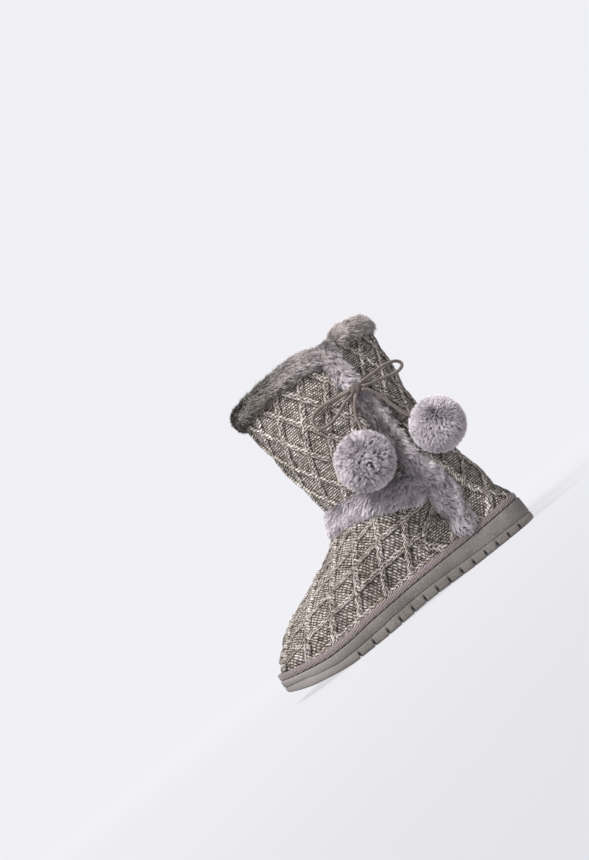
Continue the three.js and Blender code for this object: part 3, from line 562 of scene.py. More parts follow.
def knit_relief(turn, height):
    """The lift of the cables, and the weave of each place for the material."""
    places = knit_places(turn, height)
    slant = places["slant"]
    along_a = places["fall_b"] * slant
    along_b = places["fall_a"] * slant
    shaft_a = cable_height(line_distance(places["fall_a"], slant), along_a)
    shaft_b = cable_height(line_distance(places["fall_b"], slant), along_b)
    rib_slope = 1 / math.hypot(1, FOOT_RIB_LEAN)
    rib = cable_height(line_distance(places["rib"], FOOT_RIB_STEP * rib_slope), places["girth"])
    cross = 0.72 * cable_height(line_distance(places["cross"], FOOT_CROSS_STEP), places["from_toe"])
    foot = on_foot(turn, height)
    lift = np.where(foot, np.maximum(rib, cross), np.maximum(shaft_a, shaft_b))
    first = np.where(foot, places["rib"], places["fall_a"])
    second = np.where(foot, places["cross"], places["fall_b"])
    wale = np.where(foot, places["girth"] / FOOT_STITCH_WIDTH, places["around"] / STITCH_WIDTH)
    course = np.where(foot, (places["from_toe"] + FOOT_STITCH_LEAN * places["girth"]) / FOOT_STITCH_HEIGHT,
                      height / STITCH_HEIGHT)
    return lift, wale, course, first, second


# %% [markdown]
# The upper is one sheet of knit. It starts at the slit's front edge, goes round the toe and the
# heel, and ends behind the front panel, where it is tucked in. Its edges at the slit and the rim
# roll in by the thickness of the wall, so that they meet the lining.

# %% Knitted sheet
FOOT_ROWS, FOOT_PART = 0.56, 0.42


def sheet_grid(columns, rows, turn_low, turn_high):
    """Turns and heights of a sheet over the upper. More than half of the rows lie in the lower
    part, because the slope of the foot stretches them."""
    turn = np.linspace(turn_low, turn_high, columns)[None]
    low_rows = int(rows * FOOT_ROWS)
    low = np.linspace(0, FOOT_ROWS, low_rows, endpoint=False) / FOOT_ROWS * FOOT_PART
    high = FOOT_PART + np.linspace(0, 1, rows - low_rows) * (1 - FOOT_PART)
    share = np.concatenate([low, high])[:, None]
    foot_x = bare_surface(turn, 20.0)[..., 0]
    seat = sole_top(np.clip((foot_x + HEEL_REACH) / SOLE_LENGTH, 0, 1)) + SEAT_GAP
    top = rim_height(turn)
    return turn + 0 * share, seat + (top - seat) * share


OVERLAP_TURN = SLIT_OVERLAP / RIM_LENGTH
turn, height = sheet_grid(UPPER_COLUMNS, UPPER_ROWS, SLIT_TURN, 1 + SLIT_TURN + OVERLAP_TURN)
lift, wale, course, first, second = knit_relief(turn, height)
around = turn - np.floor(turn)
tuck = np.where(turn > 0.5, tuck_at(np.where(turn > 1, np.minimum(around, SLIT_TURN), turn), height), 0)
covered = smooth_step(1 + SLIT_TURN, 1 + SLIT_TURN + 0.004, turn)
tuck = np.maximum(tuck, covered * 0.6 * WALL)
column = np.arange(UPPER_COLUMNS)[None]
row = np.arange(UPPER_ROWS)[:, None]
roll = np.clip(1 - column / 4, 0, 1) ** 2 + np.clip(1 - (UPPER_ROWS - 1 - row) / 4, 0, 1) ** 2
offset = CABLE_LIFT * lift - tuck - WALL * np.clip(roll, 0, 1)
weave = np.stack([wale, course], axis=-1)
cables = np.stack([first, second, 0 * first], axis=-1)
upper_knit = make_piece("knitted_upper", surface(turn, height, offset),
                        grid_faces(UPPER_ROWS, UPPER_COLUMNS), uv=weave, values={"cables": cables})

# %% [markdown]
# The lining is a second sheet inside the first, of short dark plush. It is drawn a wall's
# thickness further in, and a slow wave keeps it from looking machined.

# %% Lining
lining_turn, lining_height = sheet_grid(150, 60, SLIT_TURN, 1 + SLIT_TURN + OVERLAP_TURN)
lining_around = lining_turn - np.floor(lining_turn)
lining_tuck = np.where(lining_turn > 0.5,
                       tuck_at(np.where(lining_turn > 1, np.minimum(lining_around, SLIT_TURN), lining_turn),
                               lining_height), 0)
nap = 0.25 * np.sin(lining_turn * 260) * np.sin(lining_height * 0.9)
lining = make_piece("plush_lining", surface(lining_turn, lining_height, nap - WALL - 0.1 - lining_tuck),
                    grid_faces(60, 150, flip=True))

# %% [markdown]
# ## Pile
#
# Plush is thousands of short fibres. Each one here is a thin blade of three triangles: it stands
# up from a soft bed, bends over in the middle and ends in a point. Fibres lean with the comb, and
# neighbours draw together into locks. The blade also carries where along it a point lies, and the
# tone of its lock, for the material.

# %% Blades
def even_scatter(count, seed):
    """Two columns of evenly scattered numbers from 0 to 1: steps of a fixed ratio, shaken."""
    ratio = 1.32471795724
    n = np.arange(count)
    rng = np.random.default_rng(seed)
    u = (0.5 + n / ratio) % 1
    v = (0.5 + n / ratio**2) % 1
    shake = 0.3 / math.sqrt(count)
    return (u + rng.normal(0, shake, count)) % 1, np.clip(v + rng.normal(0, shake, count), 0, 1)


def slow_noise(a, b, seed, scale):
    """A smooth uneven field, mostly between -1 and 1: five waves in set directions, added up."""
    rng = np.random.default_rng(seed)
    total = 0
    for _ in range(5):
        direction = rng.uniform(0, 2 * np.pi)
        pitch = rng.uniform(0.6, 1.7) / scale
        shift = rng.uniform(0, 2 * np.pi)
        total = total + np.sin(2 * np.pi * pitch * (a * np.cos(direction) + b * np.sin(direction)) + shift)
    return total / 3


def unit(v):
    return v / np.maximum(np.linalg.norm(v, axis=-1, keepdims=True), 1e-9)


def lock_centres(a, b, size, seed):
    """The nearest lock of each fibre. Locks lie one to a cell of a shaken grid, and a fibre looks
    at its own cell and the eight round it."""
    rng = np.random.default_rng(seed)
    shake_a, shake_b, tone = (rng.uniform(0, 1, (257, 257)) for _ in range(3))
    cell_a, cell_b = np.floor(a / size).astype(int), np.floor(b / size).astype(int)
    best = np.full(a.shape, np.inf)
    centre_a, centre_b, chosen = np.zeros_like(a), np.zeros_like(b), np.zeros_like(a)
    for i in (-1, 0, 1):
        for j in (-1, 0, 1):
            ia, ib = cell_a + i, cell_b + j
            ca = (ia + shake_a[ia % 257, ib % 257]) * size
            cb = (ib + shake_b[ia % 257, ib % 257]) * size
            far = (a - ca) ** 2 + (b - cb) ** 2
            nearer = far < best
            best = np.where(nearer, far, best)
            centre_a, centre_b = np.where(nearer, ca, centre_a), np.where(nearer, cb, centre_b)
            chosen = np.where(nearer, tone[ia % 257, ib % 257], chosen)
    return centre_a, centre_b, chosen


def blades(root, normal, comb, length, width, lean, seed, pull=None):
    """Points and triangles of fibres: root, bend and tip of each. The lower half leans a little
    along the comb and the upper half leans more; pull moves the tip towards its lock."""
    rng = np.random.default_rng(seed)
    count = len(root)
    comb = unit(comb - normal * (comb * normal).sum(-1, keepdims=True))
    low = unit(normal * np.cos(lean * 0.6)[:, None] + comb * np.sin(lean * 0.6)[:, None])
    high = unit(normal * np.cos(lean * 1.25)[:, None] + comb * np.sin(lean * 1.25)[:, None])
    bend = root + low * (0.5 * length)[:, None]
    tip = bend + high * (0.5 * length)[:, None]
    if pull is not None:
        tip = tip + pull
        bend = bend + 0.35 * pull
    flat = unit(np.cross(normal, comb))
    twist = rng.normal(0, 0.35, count)[:, None]
    across = unit(flat * np.cos(twist) + comb * np.sin(twist)) * (width / 2)[:, None]
    points = np.stack([root - across, root + across, bend + across * 0.85, bend - across * 0.85, tip], axis=1)
    first = 5 * np.arange(count)[:, None]
    quads = first + np.array([[0, 1, 2, 3]])
    tips = first + np.array([[3, 2, 4]])
    return points.reshape(-1, 3), quads, tips


def pile_piece(name, bed, bed_faces, bed_depth, root, normal, comb, length, width, lean, tone, patch,
               seed, pull=None):
    """One object of a bed and its fibres. The value fibre holds the way up the fibre, which the finish
    paints as shade at the root, the tone of the lock and the slow patch of colour, which can also
    hold painted shade."""
    points, quads, tips = blades(root, normal, comb, length, width, lean, seed, pull)
    count, bed_count = len(root), len(bed)
    way = np.tile([0.0, 0.0, 0.55, 0.55, 1.0], count)
    fibre = np.stack([way, np.repeat(tone, 5), np.repeat(patch, 5)], axis=1)
    # The bed gets a low way up the fibre, so it is painted in the dark root colour as shade under the fibres.
    bed_value = np.tile([bed_depth, 0.35, 0.0], (bed_count, 1))
    faces = [bed_faces, quads + bed_count, tips + bed_count]
    return make_piece(name, np.vstack([bed, points]), faces, values={"fibre": np.vstack([bed_value, fibre])})


# %% [markdown]
# A pad of pile follows a path over the upper: it has a turn, a height and a width at each share
# of its way. Across the path it is a low arch. Here the arch of the bed is lower than that of the
# finished pile, and the fibres fill the rest.

# %% Pads of pile
FUR_DEPTH = 9
STRIP_WIDTH = 21
BAND_WIDTH = 21
BAND_END_GAP = -2
COLLAR_DROP = 15
COLLAR_RISE = 10
COLLAR_BULGE = 8
COLLAR_LINING = 6
LOCK_DEPTH = 1.3
WELT_HEIGHT = 6.6
BED_SHARE = 0.5
EDGE_FIBRES = 5
PAD_GRID, PAD_SPAN = (150, 20), 28.0
STRIP_PILE_LENGTH = 6.6


def end_rounding(share, length, radius):
    """1 along the pad, falling in a quarter circle to a rounded end."""
    near = np.minimum(share, 1 - share) * length
    t = np.clip((near + 0.1 * radius) / radius, 0, 1)
    return np.sqrt(1 - (1 - t) ** 2)


def pad_point(path, length, share, angle, depth_share):
    """A point of a pad: the way across is the cosine of the angle, the lift its sine."""
    here = path(share)
    before, after = path(np.maximum(share - 0.01, 0)), path(np.minimum(share + 0.01, 1))
    around = ring_length(here["height"])
    run = (after["turn"] - before["turn"]) * around
    rise = after["height"] - before["height"]
    norm = np.hypot(run, rise)
    end = end_rounding(share, length, here["width"] / 2)
    across = -np.cos(angle) * end * here["width"] / 2
    depth = FUR_DEPTH * here["depth"] * np.abs(np.sin(angle)) ** 0.7 * end * depth_share
    turn = here["turn"] - across * rise / norm / around
    height = here["height"] + across * run / norm
    return surface(turn, height, depth - 0.2)


def fur_on(name, place, count, comb_of, length_of, seed, grid, spans, lock=2.0, pull_share=0.25,
           lean_mean=0.95, width=0.62, shade_of=None):
    """Pile over any bed that place(u, v) gives. Normals come from small steps in u and v. Spans
    are the bed's length and width in millimetres, in which the locks are laid out."""
    us, vs = np.meshgrid(np.linspace(0, 1, grid[0]), np.linspace(0, 1, grid[1]), indexing="ij")
    bed = place(us, vs)
    faces = grid_faces(grid[0], grid[1], flip=True)
    u, v = even_scatter(int(count * 1.6), seed)
    step = 0.004

    def area_of(u, v):
        du = place(np.clip(u + step, 0, 1), v) - place(np.clip(u - step, 0, 1), v)
        dv = place(u, np.clip(v + step, 0, 1)) - place(u, np.clip(v - step, 0, 1))
        return du, dv

    du, dv = area_of(u, v)
    area = np.linalg.norm(np.cross(du, dv), axis=-1)
    rng = np.random.default_rng(seed + 1)
    limit = np.quantile(area, 0.9)
    kept = rng.uniform(0, 1, len(u)) < np.clip(area / limit, 0.02, 1) * 1.25
    u, v, du, dv = u[kept][:count], v[kept][:count], du[kept][:count], dv[kept][:count]
    root = place(u, v)
    normal = -unit(np.cross(du, dv))
    comb = comb_of(u, v, root, normal, unit(du), unit(dv))
    a, b = u * spans[0], v * spans[1]
    centre_a, centre_b, tone = lock_centres(a, b, lock, seed + 2)
    swing = 0.22 * np.sin(2 * np.pi * 61 * tone)[:, None]
    comb = unit(comb) + swing * unit(np.cross(normal, comb))
    centre_u, centre_v = np.clip(centre_a / spans[0], 0, 1), np.clip(centre_b / spans[1], 0, 1)
    pull = (place(centre_u, centre_v) - root) * pull_share * rng.uniform(0.5, 1.3, len(u))[:, None]
    # The slow patch of colour, less the painted shade that shade_of gives.
    patch = slow_noise(a, b, seed + 3, 22) - (0 if shade_of is None else shade_of(v, root))
    length = length_of(u, v, root) * rng.uniform(0.74, 1.22, len(u))
    length = length * (1 + 0.14 * slow_noise(a, b, seed + 4, 11)) * (0.9 + 0.22 * tone)
    lean = np.clip(rng.normal(lean_mean, 0.16, len(u)) + 0.18 * slow_noise(a, b, seed + 5, 14), 0.15, 1.4)
    widths = rng.uniform(0.75, 1.2, len(u)) * width
    mixed = np.clip(0.5 * tone + 0.5 * rng.uniform(0, 1, len(u)), 0, 1)
    return pile_piece(name, bed.reshape(-1, 3), faces, 0.1, root, normal, comb, length, widths, lean,
                      mixed, patch, seed + 6, pull)


def wandering(along, across, seed, spread=0.8):
    """A comb that runs along one way and wanders to the sides with slow noise."""
    def comb(u, v, root, normal, du, dv):
        wander = slow_noise(root[:, 0] + root[:, 1], root[:, 2], seed, 26)[:, None] * spread
        return du * along + dv * across + (dv * wander if abs(along) > abs(across) else du * wander)
    return comb


# %% [markdown]
# Two strips run down the sides of the shaft: one over the edge of the slit, and one on the inner
# side. The outer strip is drawn in where the lace is tied round it, and below that its front side
# is painted dark as shade. The band runs round the ankle from strip to strip.

# %% Strips and band
OUTER_REACH, INNER_REACH = 27, 17


def strip_path(side, extra):
    edge_turn = SLIT_TURN if side > 0 else NOTCH_TURN
    foot = float(sole_top(strip_middle(np.array(0.0)))) + WELT_HEIGHT + 0.6
    top = float(rim_height(np.array(edge_turn))) - COLLAR_DROP - 4 * LOCK_DEPTH + extra

    def path(share):
        height = foot + (top - foot) * share
        turn = turn_at(height, strip_middle(height) * SOLE_LENGTH, side)
        pinch = strip_width(height) if side > 0 else np.ones_like(height)
        width = STRIP_WIDTH * pinch - EDGE_FIBRES
        return dict(turn=turn, height=height, width=width, depth=0.35 + 0.65 * pinch)

    return path, top - foot


def strip_place(side, extra):
    path, length = strip_path(side, extra)
    return (lambda u, v: pad_point(path, length, u, v * np.pi, BED_SHARE)), length


outer_place, outer_run = strip_place(1, OUTER_REACH)
inner_place, inner_run = strip_place(-1, INNER_REACH)


def even_length(value):
    return lambda u, v, root: np.full(len(u), float(value))


def strip_length(u, v, root):
    """Fibres shorten where the lace presses the strip in."""
    near_lace = np.exp(-((root[:, 2] - KNOT_PLACE[2]) / 6) ** 2)
    return STRIP_PILE_LENGTH * (1 - 0.45 * near_lace)


def strip_shade(v, root):
    """Painted shade: the pile is darkened on the front side of the strip, from the lace to the band."""
    stretch = smooth_step(112, 124, root[:, 2]) * (1 - smooth_step(162, 174, root[:, 2]))
    return 3.2 * stretch * (1 - smooth_step(0.35, 0.62, v))


strip_outer = fur_on("fur_strip_outer", outer_place, 26000, wandering(-1, 0.15, 11, 0.4), strip_length,
                     101, grid=PAD_GRID, spans=(outer_run, PAD_SPAN), shade_of=strip_shade)
strip_inner = fur_on("fur_strip_inner", inner_place, 15000, wandering(-1, 0.1, 12),
                     even_length(STRIP_PILE_LENGTH), 141, grid=PAD_GRID, spans=(inner_run, PAD_SPAN))

band_low = float(band_height(np.array(0.0)))
band_side = float(strip_middle(np.array(band_low))) * SOLE_LENGTH + STRIP_WIDTH / 2 + BAND_END_GAP
band_start = float(turn_at(np.array(band_low), band_side, 1))
band_end = float(turn_at(np.array(band_low), band_side, -1))
band_run = (band_end - band_start) * float(ring_length(INSTEP_HEIGHT))


def band_path(share):
    way = 1 - np.abs(2 * share - 1)
    return dict(turn=band_start + (band_end - band_start) * share, height=band_height(way),
                width=np.full_like(share, BAND_WIDTH - EDGE_FIBRES), depth=np.ones_like(share))


def band_place(u, v):
    return pad_point(band_path, band_run, u, v * np.pi, BED_SHARE)


ankle_band = fur_on("fur_ankle_band", band_place, 27000, wandering(0.15, -1, 13, 1.1), even_length(6.2),
                    181, grid=PAD_GRID, spans=(band_run, PAD_SPAN), lean_mean=0.85)

# %% [markdown]
# The two collars fold over the rim of the shaft. Their section is a closed roll: an outer skirt,
# a round top and a lining on the inside. The back collar sits further in, on the tucked panel.

# %% Collars
COLLAR_GAP = 1.6
BACK_SLIT_GAP = 6
COLLAR_SHRINK = 0.55
COLLAR_SPAN = 60.0
COLLAR_ROLL = np.array([
    # out, up
    [0.1, -1], [0.95, -0.72], [1.05, -0.1], [0.72, 0.55], [-0.12, 1], [-0.95, 0.55], [-1.22, -0.1],
    [-1.15, -0.62], [-0.55, -0.9],
])
roll_way = np.concatenate([[0], np.cumsum(np.linalg.norm(np.diff(COLLAR_ROLL, axis=0), axis=1))])
roll_fine = np.linspace(0, 1, 200)
roll_curves = [table_curve(roll_way / roll_way[-1], COLLAR_ROLL[:, axis])(roll_fine) for axis in (0, 1)]


def collar_place(start, end, shrink, drop, far_drop):
    """The bed of a collar: the roll, drawn in towards the wall by a share."""
    lining_reach = WALL + COLLAR_LINING
    length = (end - start) * RIM_LENGTH

    def place(u, v):
        out, up = (np.interp(v, roll_fine, values) for values in roll_curves)
        turn = start + (end - start) * u
        round_end = end_rounding(u, length, COLLAR_BULGE)
        local = turn - np.floor(turn)
        tucked = (turn > 1) | (turn < SLIT_TURN)
        tuck = np.where(tucked, tuck_at(local, SHAFT_HEIGHT + 0 * turn), 0)
        reach = np.where(out > 0, out * COLLAR_BULGE, out * lining_reach / 1.22)
        middle = -WALL / 2
        offset = middle + (reach - middle) * round_end * shrink - tuck
        skirt = (drop + (far_drop - drop) * smooth_step(0.02, 0.3, u)) * (0.35 + 0.65 * shrink)
        rise = np.where(up > 0, up * COLLAR_RISE * shrink, up * skirt)
        return surface(turn, rim_height(turn) + rise * round_end, offset)

    return place, length


def collar_comb(seed, along):
    """Along the collar towards the slit, and down on both sides of the roll."""
    def comb(u, v, root, normal, du, dv):
        down = np.where(v < 0.42, -1.0, 1.0)[:, None]
        wander = slow_noise(root[:, 0], root[:, 2], seed, 30)[:, None]
        top = np.exp(-((v - 0.45) / 0.12) ** 2)[:, None]
        return dv * down * (0.55 - 0.5 * top) + du * (along + 0.4 * wander)
    return comb


COLLAR_END = COLLAR_GAP / RIM_LENGTH
SLIT_END = BACK_SLIT_GAP / RIM_LENGTH
front_place, front_run = collar_place(SLIT_TURN + COLLAR_END, NOTCH_TURN - COLLAR_END, COLLAR_SHRINK,
                                      0.88 * COLLAR_DROP, 0.74 * COLLAR_DROP)
back_place, back_run = collar_place(NOTCH_TURN + COLLAR_END, 1 + SLIT_TURN - SLIT_END, COLLAR_SHRINK,
                                    0.62 * COLLAR_DROP, 0.62 * COLLAR_DROP)
collar_front = fur_on("fur_collar_front", front_place, 52000, collar_comb(21, -0.9), even_length(6.2), 221,
                      grid=(200, 34), spans=(front_run, COLLAR_SPAN), lean_mean=1.0, lock=1.9, pull_share=0.2)
collar_back = fur_on("fur_collar_back", back_place, 30000, collar_comb(22, -0.7), even_length(6.4), 261,
                     grid=(120, 34), spans=(back_run, COLLAR_SPAN), lean_mean=1.0, lock=1.9, pull_share=0.2)

# %% [markdown]
# A pompom is a ball of pile. Its fibres lean away from a crown, like the hair of a head, and each
# lock also leans its own way. The tips make the round outline.

# %% Pompoms
FRONT_POMPOM, FRONT_POMPOM_PLACE = 50, np.array([59, 72.4, 125.4])
BACK_POMPOM, BACK_POMPOM_PLACE = 47, np.array([-12, 58.4, 114])


def pompom(name, place, size, crown, flow, seed, count=34000):
    """Fibres from a small ball. Their tips end about on the sphere of the pompom's size. Each
    lock leans its own way, and flow is how much all of them lean away from the crown."""
    radius = size / 2
    bed_radius = 0.76 * radius
    crown = unit(np.array(crown, float))

    def ball(u, v):
        polar = np.arccos(np.clip(1 - 2 * v, -1, 1))
        direction = np.stack([np.sin(polar) * np.cos(2 * np.pi * u), np.sin(polar) * np.sin(2 * np.pi * u),
                              np.cos(polar)], axis=-1)
        return place + direction * bed_radius

    us, vs = np.meshgrid(np.linspace(0, 1, 49), np.linspace(0, 1, 25), indexing="ij")
    bed = ball(us, vs).reshape(-1, 3)
    u, v = even_scatter(count, seed)
    rng = np.random.default_rng(seed)
    root = ball(u, v)
    normal = unit(root - place)
    centres, tone = nearest_lock(normal, 2400, seed + 2)
    away = unit(normal * (normal @ crown)[:, None] - crown)
    swing = 2 * np.pi * 61 * tone[:, None]
    comb = flow * away + np.cos(swing) * away + np.sin(swing) * unit(np.cross(normal, crown))
    pull = (place + centres * bed_radius - root) * 0.2
    length = (radius - bed_radius) * 1.32 * rng.uniform(0.86, 1.12, count) * (0.94 + 0.12 * tone)
    lean = np.clip(rng.normal(0.5, 0.16, count), 0.1, 1.1)
    patch = slow_noise(root[:, 0], root[:, 2], seed + 3, 18)
    mixed = np.clip(0.5 * tone + 0.5 * rng.uniform(0, 1, count), 0, 1)
    return pile_piece(name, bed, grid_faces(49, 25), 0.35, root, normal, comb, length,
                      rng.uniform(0.7, 1.1, count) * 0.75, lean, mixed, patch, seed + 4, pull)


def nearest_lock(direction, count, seed):
    """Locks spread over a sphere on a spiral, slightly shaken, and the one nearest to each
    direction with its tone from 0 to 1."""
    n = np.arange(count) + 0.5
    rng = np.random.default_rng(seed)
    up = 1 - 2 * n / count
    angle = n * np.pi * (1 + math.sqrt(5))
    flat = np.sqrt(1 - up**2)
    spiral = np.stack([flat * np.cos(angle), flat * np.sin(angle), up], axis=1)
    centres = unit(spiral + rng.normal(0, 0.016, (count, 3)))
    nearest = np.concatenate([(part @ centres.T).argmax(axis=1) for part in np.array_split(direction, 20)])
    return centres[nearest], rng.uniform(0, 1, count)[nearest]


pompom_front = pompom("pompom_front_pile", FRONT_POMPOM_PLACE, FRONT_POMPOM, (-0.1, 0.7, 0.6), 0.8, 301)
pompom_back = pompom("pompom_back_pile", BACK_POMPOM_PLACE, BACK_POMPOM, (-0.05, 0.75, 0.6), 1.5, 341)

# %% [markdown]
# ## The sole, the welt and the insole
#
# The outsole is moulded in one piece with a parting line along its side and grooves across its
# tread. It is worked out as stations from heel to toe: each station is one slice, and the close
# pairs of stations at a groove step up and down again by its depth.

# %% Outsole
RIM_OF_BED = 13
END_BLEND = 30
MOST_SHIFT = 16
BED_DEPTH = 2.5
LINE_DEPTH = 0.9
TREAD_WIDTH, TREAD_DEPTH = 2.1, 4
TREAD_PITCH, TREAD_STRETCH, FIRST_GROOVE, TREAD_GROOVES = 12.9, 4.2, 22, 14

groove_steps = TREAD_PITCH + TREAD_STRETCH * (np.arange(TREAD_GROOVES - 1) / TREAD_GROOVES) ** 3
groove_places = FIRST_GROOVE + np.concatenate([[0], np.cumsum(groove_steps)])


def outsole_profile():
    """Rows of the slice: how far in from the outline, the line that the row follows, and how far
    it lies above that line. A groove lifts the rows at the bottom to at least its depth."""
    bed = RIM_OF_BED + BED_DEPTH
    return [
        (50, "bottom", 0), (3, "bottom", 0), (1.5, "bottom", 0.3), (0.7, "bottom", 0.9),
        (0.2, "bottom", 1.8), (0, "bottom", 2.6), (0, "line", -0.8), (0.25, "line", -0.5),
        (LINE_DEPTH, "line", -0.25), (LINE_DEPTH, "line", 0.25), (0.25, "line", 0.5), (0, "line", 0.8),
        (0, "top", -1.4), (0.35, "top", -0.4), (1.3, "top", 0), (RIM_OF_BED, "top", 0),
        (bed, "top", -BED_DEPTH), (50, "top", -BED_DEPTH),
    ]


def station_edge(along, inset, side):
    """The outline pulled in by an inset, at stations along the sole. Near an end the stations move
    in too, by so much less than the blend's length that none of them passes its neighbour."""
    half = BALL_WIDTH / 2
    from_end = np.minimum(along, 1 - along) * SOLE_LENGTH
    shift = np.minimum(inset, MOST_SHIFT) * (1 - smooth_step(0, END_BLEND, from_end))
    x = along * SOLE_LENGTH - HEEL_REACH - np.sign(along - 0.5) * shift
    share = max(1 - inset / half, 0)
    return x, footprint(along, side) * half * share


def outsole():
    even = (1 - np.cos(np.linspace(0, np.pi, 150))) / 2
    edge = 0.02
    half_groove = TREAD_WIDTH / 2
    cuts = np.concatenate([groove_places + side * half_groove + step
                           for side in (-1, 1) for step in (-edge, edge)])
    along = np.unique(np.concatenate([even, cuts / SOLE_LENGTH]))
    gap = np.abs(along[:, None] * SOLE_LENGTH - groove_places[None]).min(axis=1)
    groove = np.where(gap < half_groove, TREAD_DEPTH, 0.0)
    lines = {"bottom": sole_bottom, "line": sole_line, "top": sole_top}
    loops = []
    for side in (1, -1):
        rows = []
        for inset, line, above in outsole_profile():
            x, y = station_edge(along, inset, side)
            lifted = np.maximum(above, groove) if line == "bottom" else above
            rows.append(np.stack([x, y, lines[line](along) + lifted], axis=-1))
        loops.append(np.array(rows))
    ring = np.concatenate([loops[0], loops[1][::-1]], axis=0).transpose(1, 0, 2)
    # The faces inside the grooves are marked for painted shade: the finish paints them near black.
    raised = ring[..., 2] - sole_bottom(along)[:, None]
    inside = np.where((groove[:, None] > 0) & (raised < TREAD_DEPTH + 0.1), 1.0, 0.0)
    values = {"groove": np.stack([inside, 0 * inside, 0 * inside], axis=-1)}
    faces = grid_faces(ring.shape[0], ring.shape[1], closed=True)
    return make_piece("moulded_outsole", ring, faces, values=values)


outsole_piece = outsole()

# %% [markdown]
# The welt cord is a woven band that covers the joint between the knit and the sole. It is a soft
# half round carried along the edge of the sole.

# %% Welt and insole
WELT_INSET = 0.9
WELT_COLUMNS = 700


def edge_ring(inset, columns):
    """The outline of the sole, pulled in by an inset, and the way along of each point."""
    angle = np.linspace(0, 2 * np.pi, columns, endpoint=False)
    side = np.where(angle <= np.pi, 1, -1)
    along = (1 - np.cos(angle)) / 2
    full, half = SOLE_LENGTH / 2, BALL_WIDTH / 2
    x = full + (2 * along - 1) * (full - inset) - HEEL_REACH
    y = footprint(along, side) * half * (1 - inset / half)
    return x, y, (x + HEEL_REACH) / SOLE_LENGTH


def welt():
    """Rings round the sole, each with its inset and its height over the sole's top edge."""
    rows = [(8.0, 0.6), (2.4, 0.5), (WELT_INSET + 0.25, 0.7), (WELT_INSET, 1.6), (WELT_INSET - 0.15, 3.0),
            (WELT_INSET, 4.6), (WELT_INSET + 0.5, 5.7), (WELT_INSET + 1.3, 6.35),
            (WELT_INSET + 2.4, WELT_HEIGHT), (8.0, WELT_HEIGHT - 0.3)]
    rings = []
    for inset, up in rows:
        x, y, along = edge_ring(inset, WELT_COLUMNS)
        rings.append(np.stack([x, y, sole_top(along) + up], axis=-1))
    rings = np.array(rings)
    steps = np.linalg.norm(np.diff(rings[4], axis=0), axis=1)
    run = np.concatenate([[0], np.cumsum(steps)])
    weave = np.array([np.stack([run, np.full(WELT_COLUMNS, up)], axis=-1) for _, up in rows])
    faces = grid_faces(len(rows), WELT_COLUMNS, closed=True, flip=True)
    return make_piece("woven_welt", rings, faces, uv=weave)


welt_piece = welt()


def insole_piece():
    """A soft slab on the bed of the sole: rings of the inner wall drawn in towards its middle."""
    columns = 160
    turn = np.linspace(0, 1, columns, endpoint=False)
    base = surface(turn, 27.0 + 0 * turn, np.full(columns, -WALL - 0.3))
    along = np.clip((base[:, 0] + HEEL_REACH) / SOLE_LENGTH, 0, 1)
    spine = np.stack([base[:, 0] * 0.92 + 7, 0 * turn], axis=-1)
    rings = []
    for draw, drop in ((0.02, -3.6), (0, -2), (0, -0.5), (0.03, 0), (0.2, 0.05), (0.5, 0), (0.8, 0), (1, 0)):
        xy = base[:, :2] * (1 - draw) + spine * draw
        here = np.clip((xy[:, 0] + HEEL_REACH) / SOLE_LENGTH, 0, 1)
        rings.append(np.column_stack([xy, sole_top(here) + SEAT_GAP + 4 + drop]))
    return make_piece("plush_insole", np.array(rings), grid_faces(8, columns, closed=True, flip=True))


insole = insole_piece()

# %% [markdown]
# ## Finishes
#
# Each finish is a small graph of nodes that ends in one shader. A helper adds a node, sets its
# sockets and joins what is given to it, so a finish reads like a list of steps.

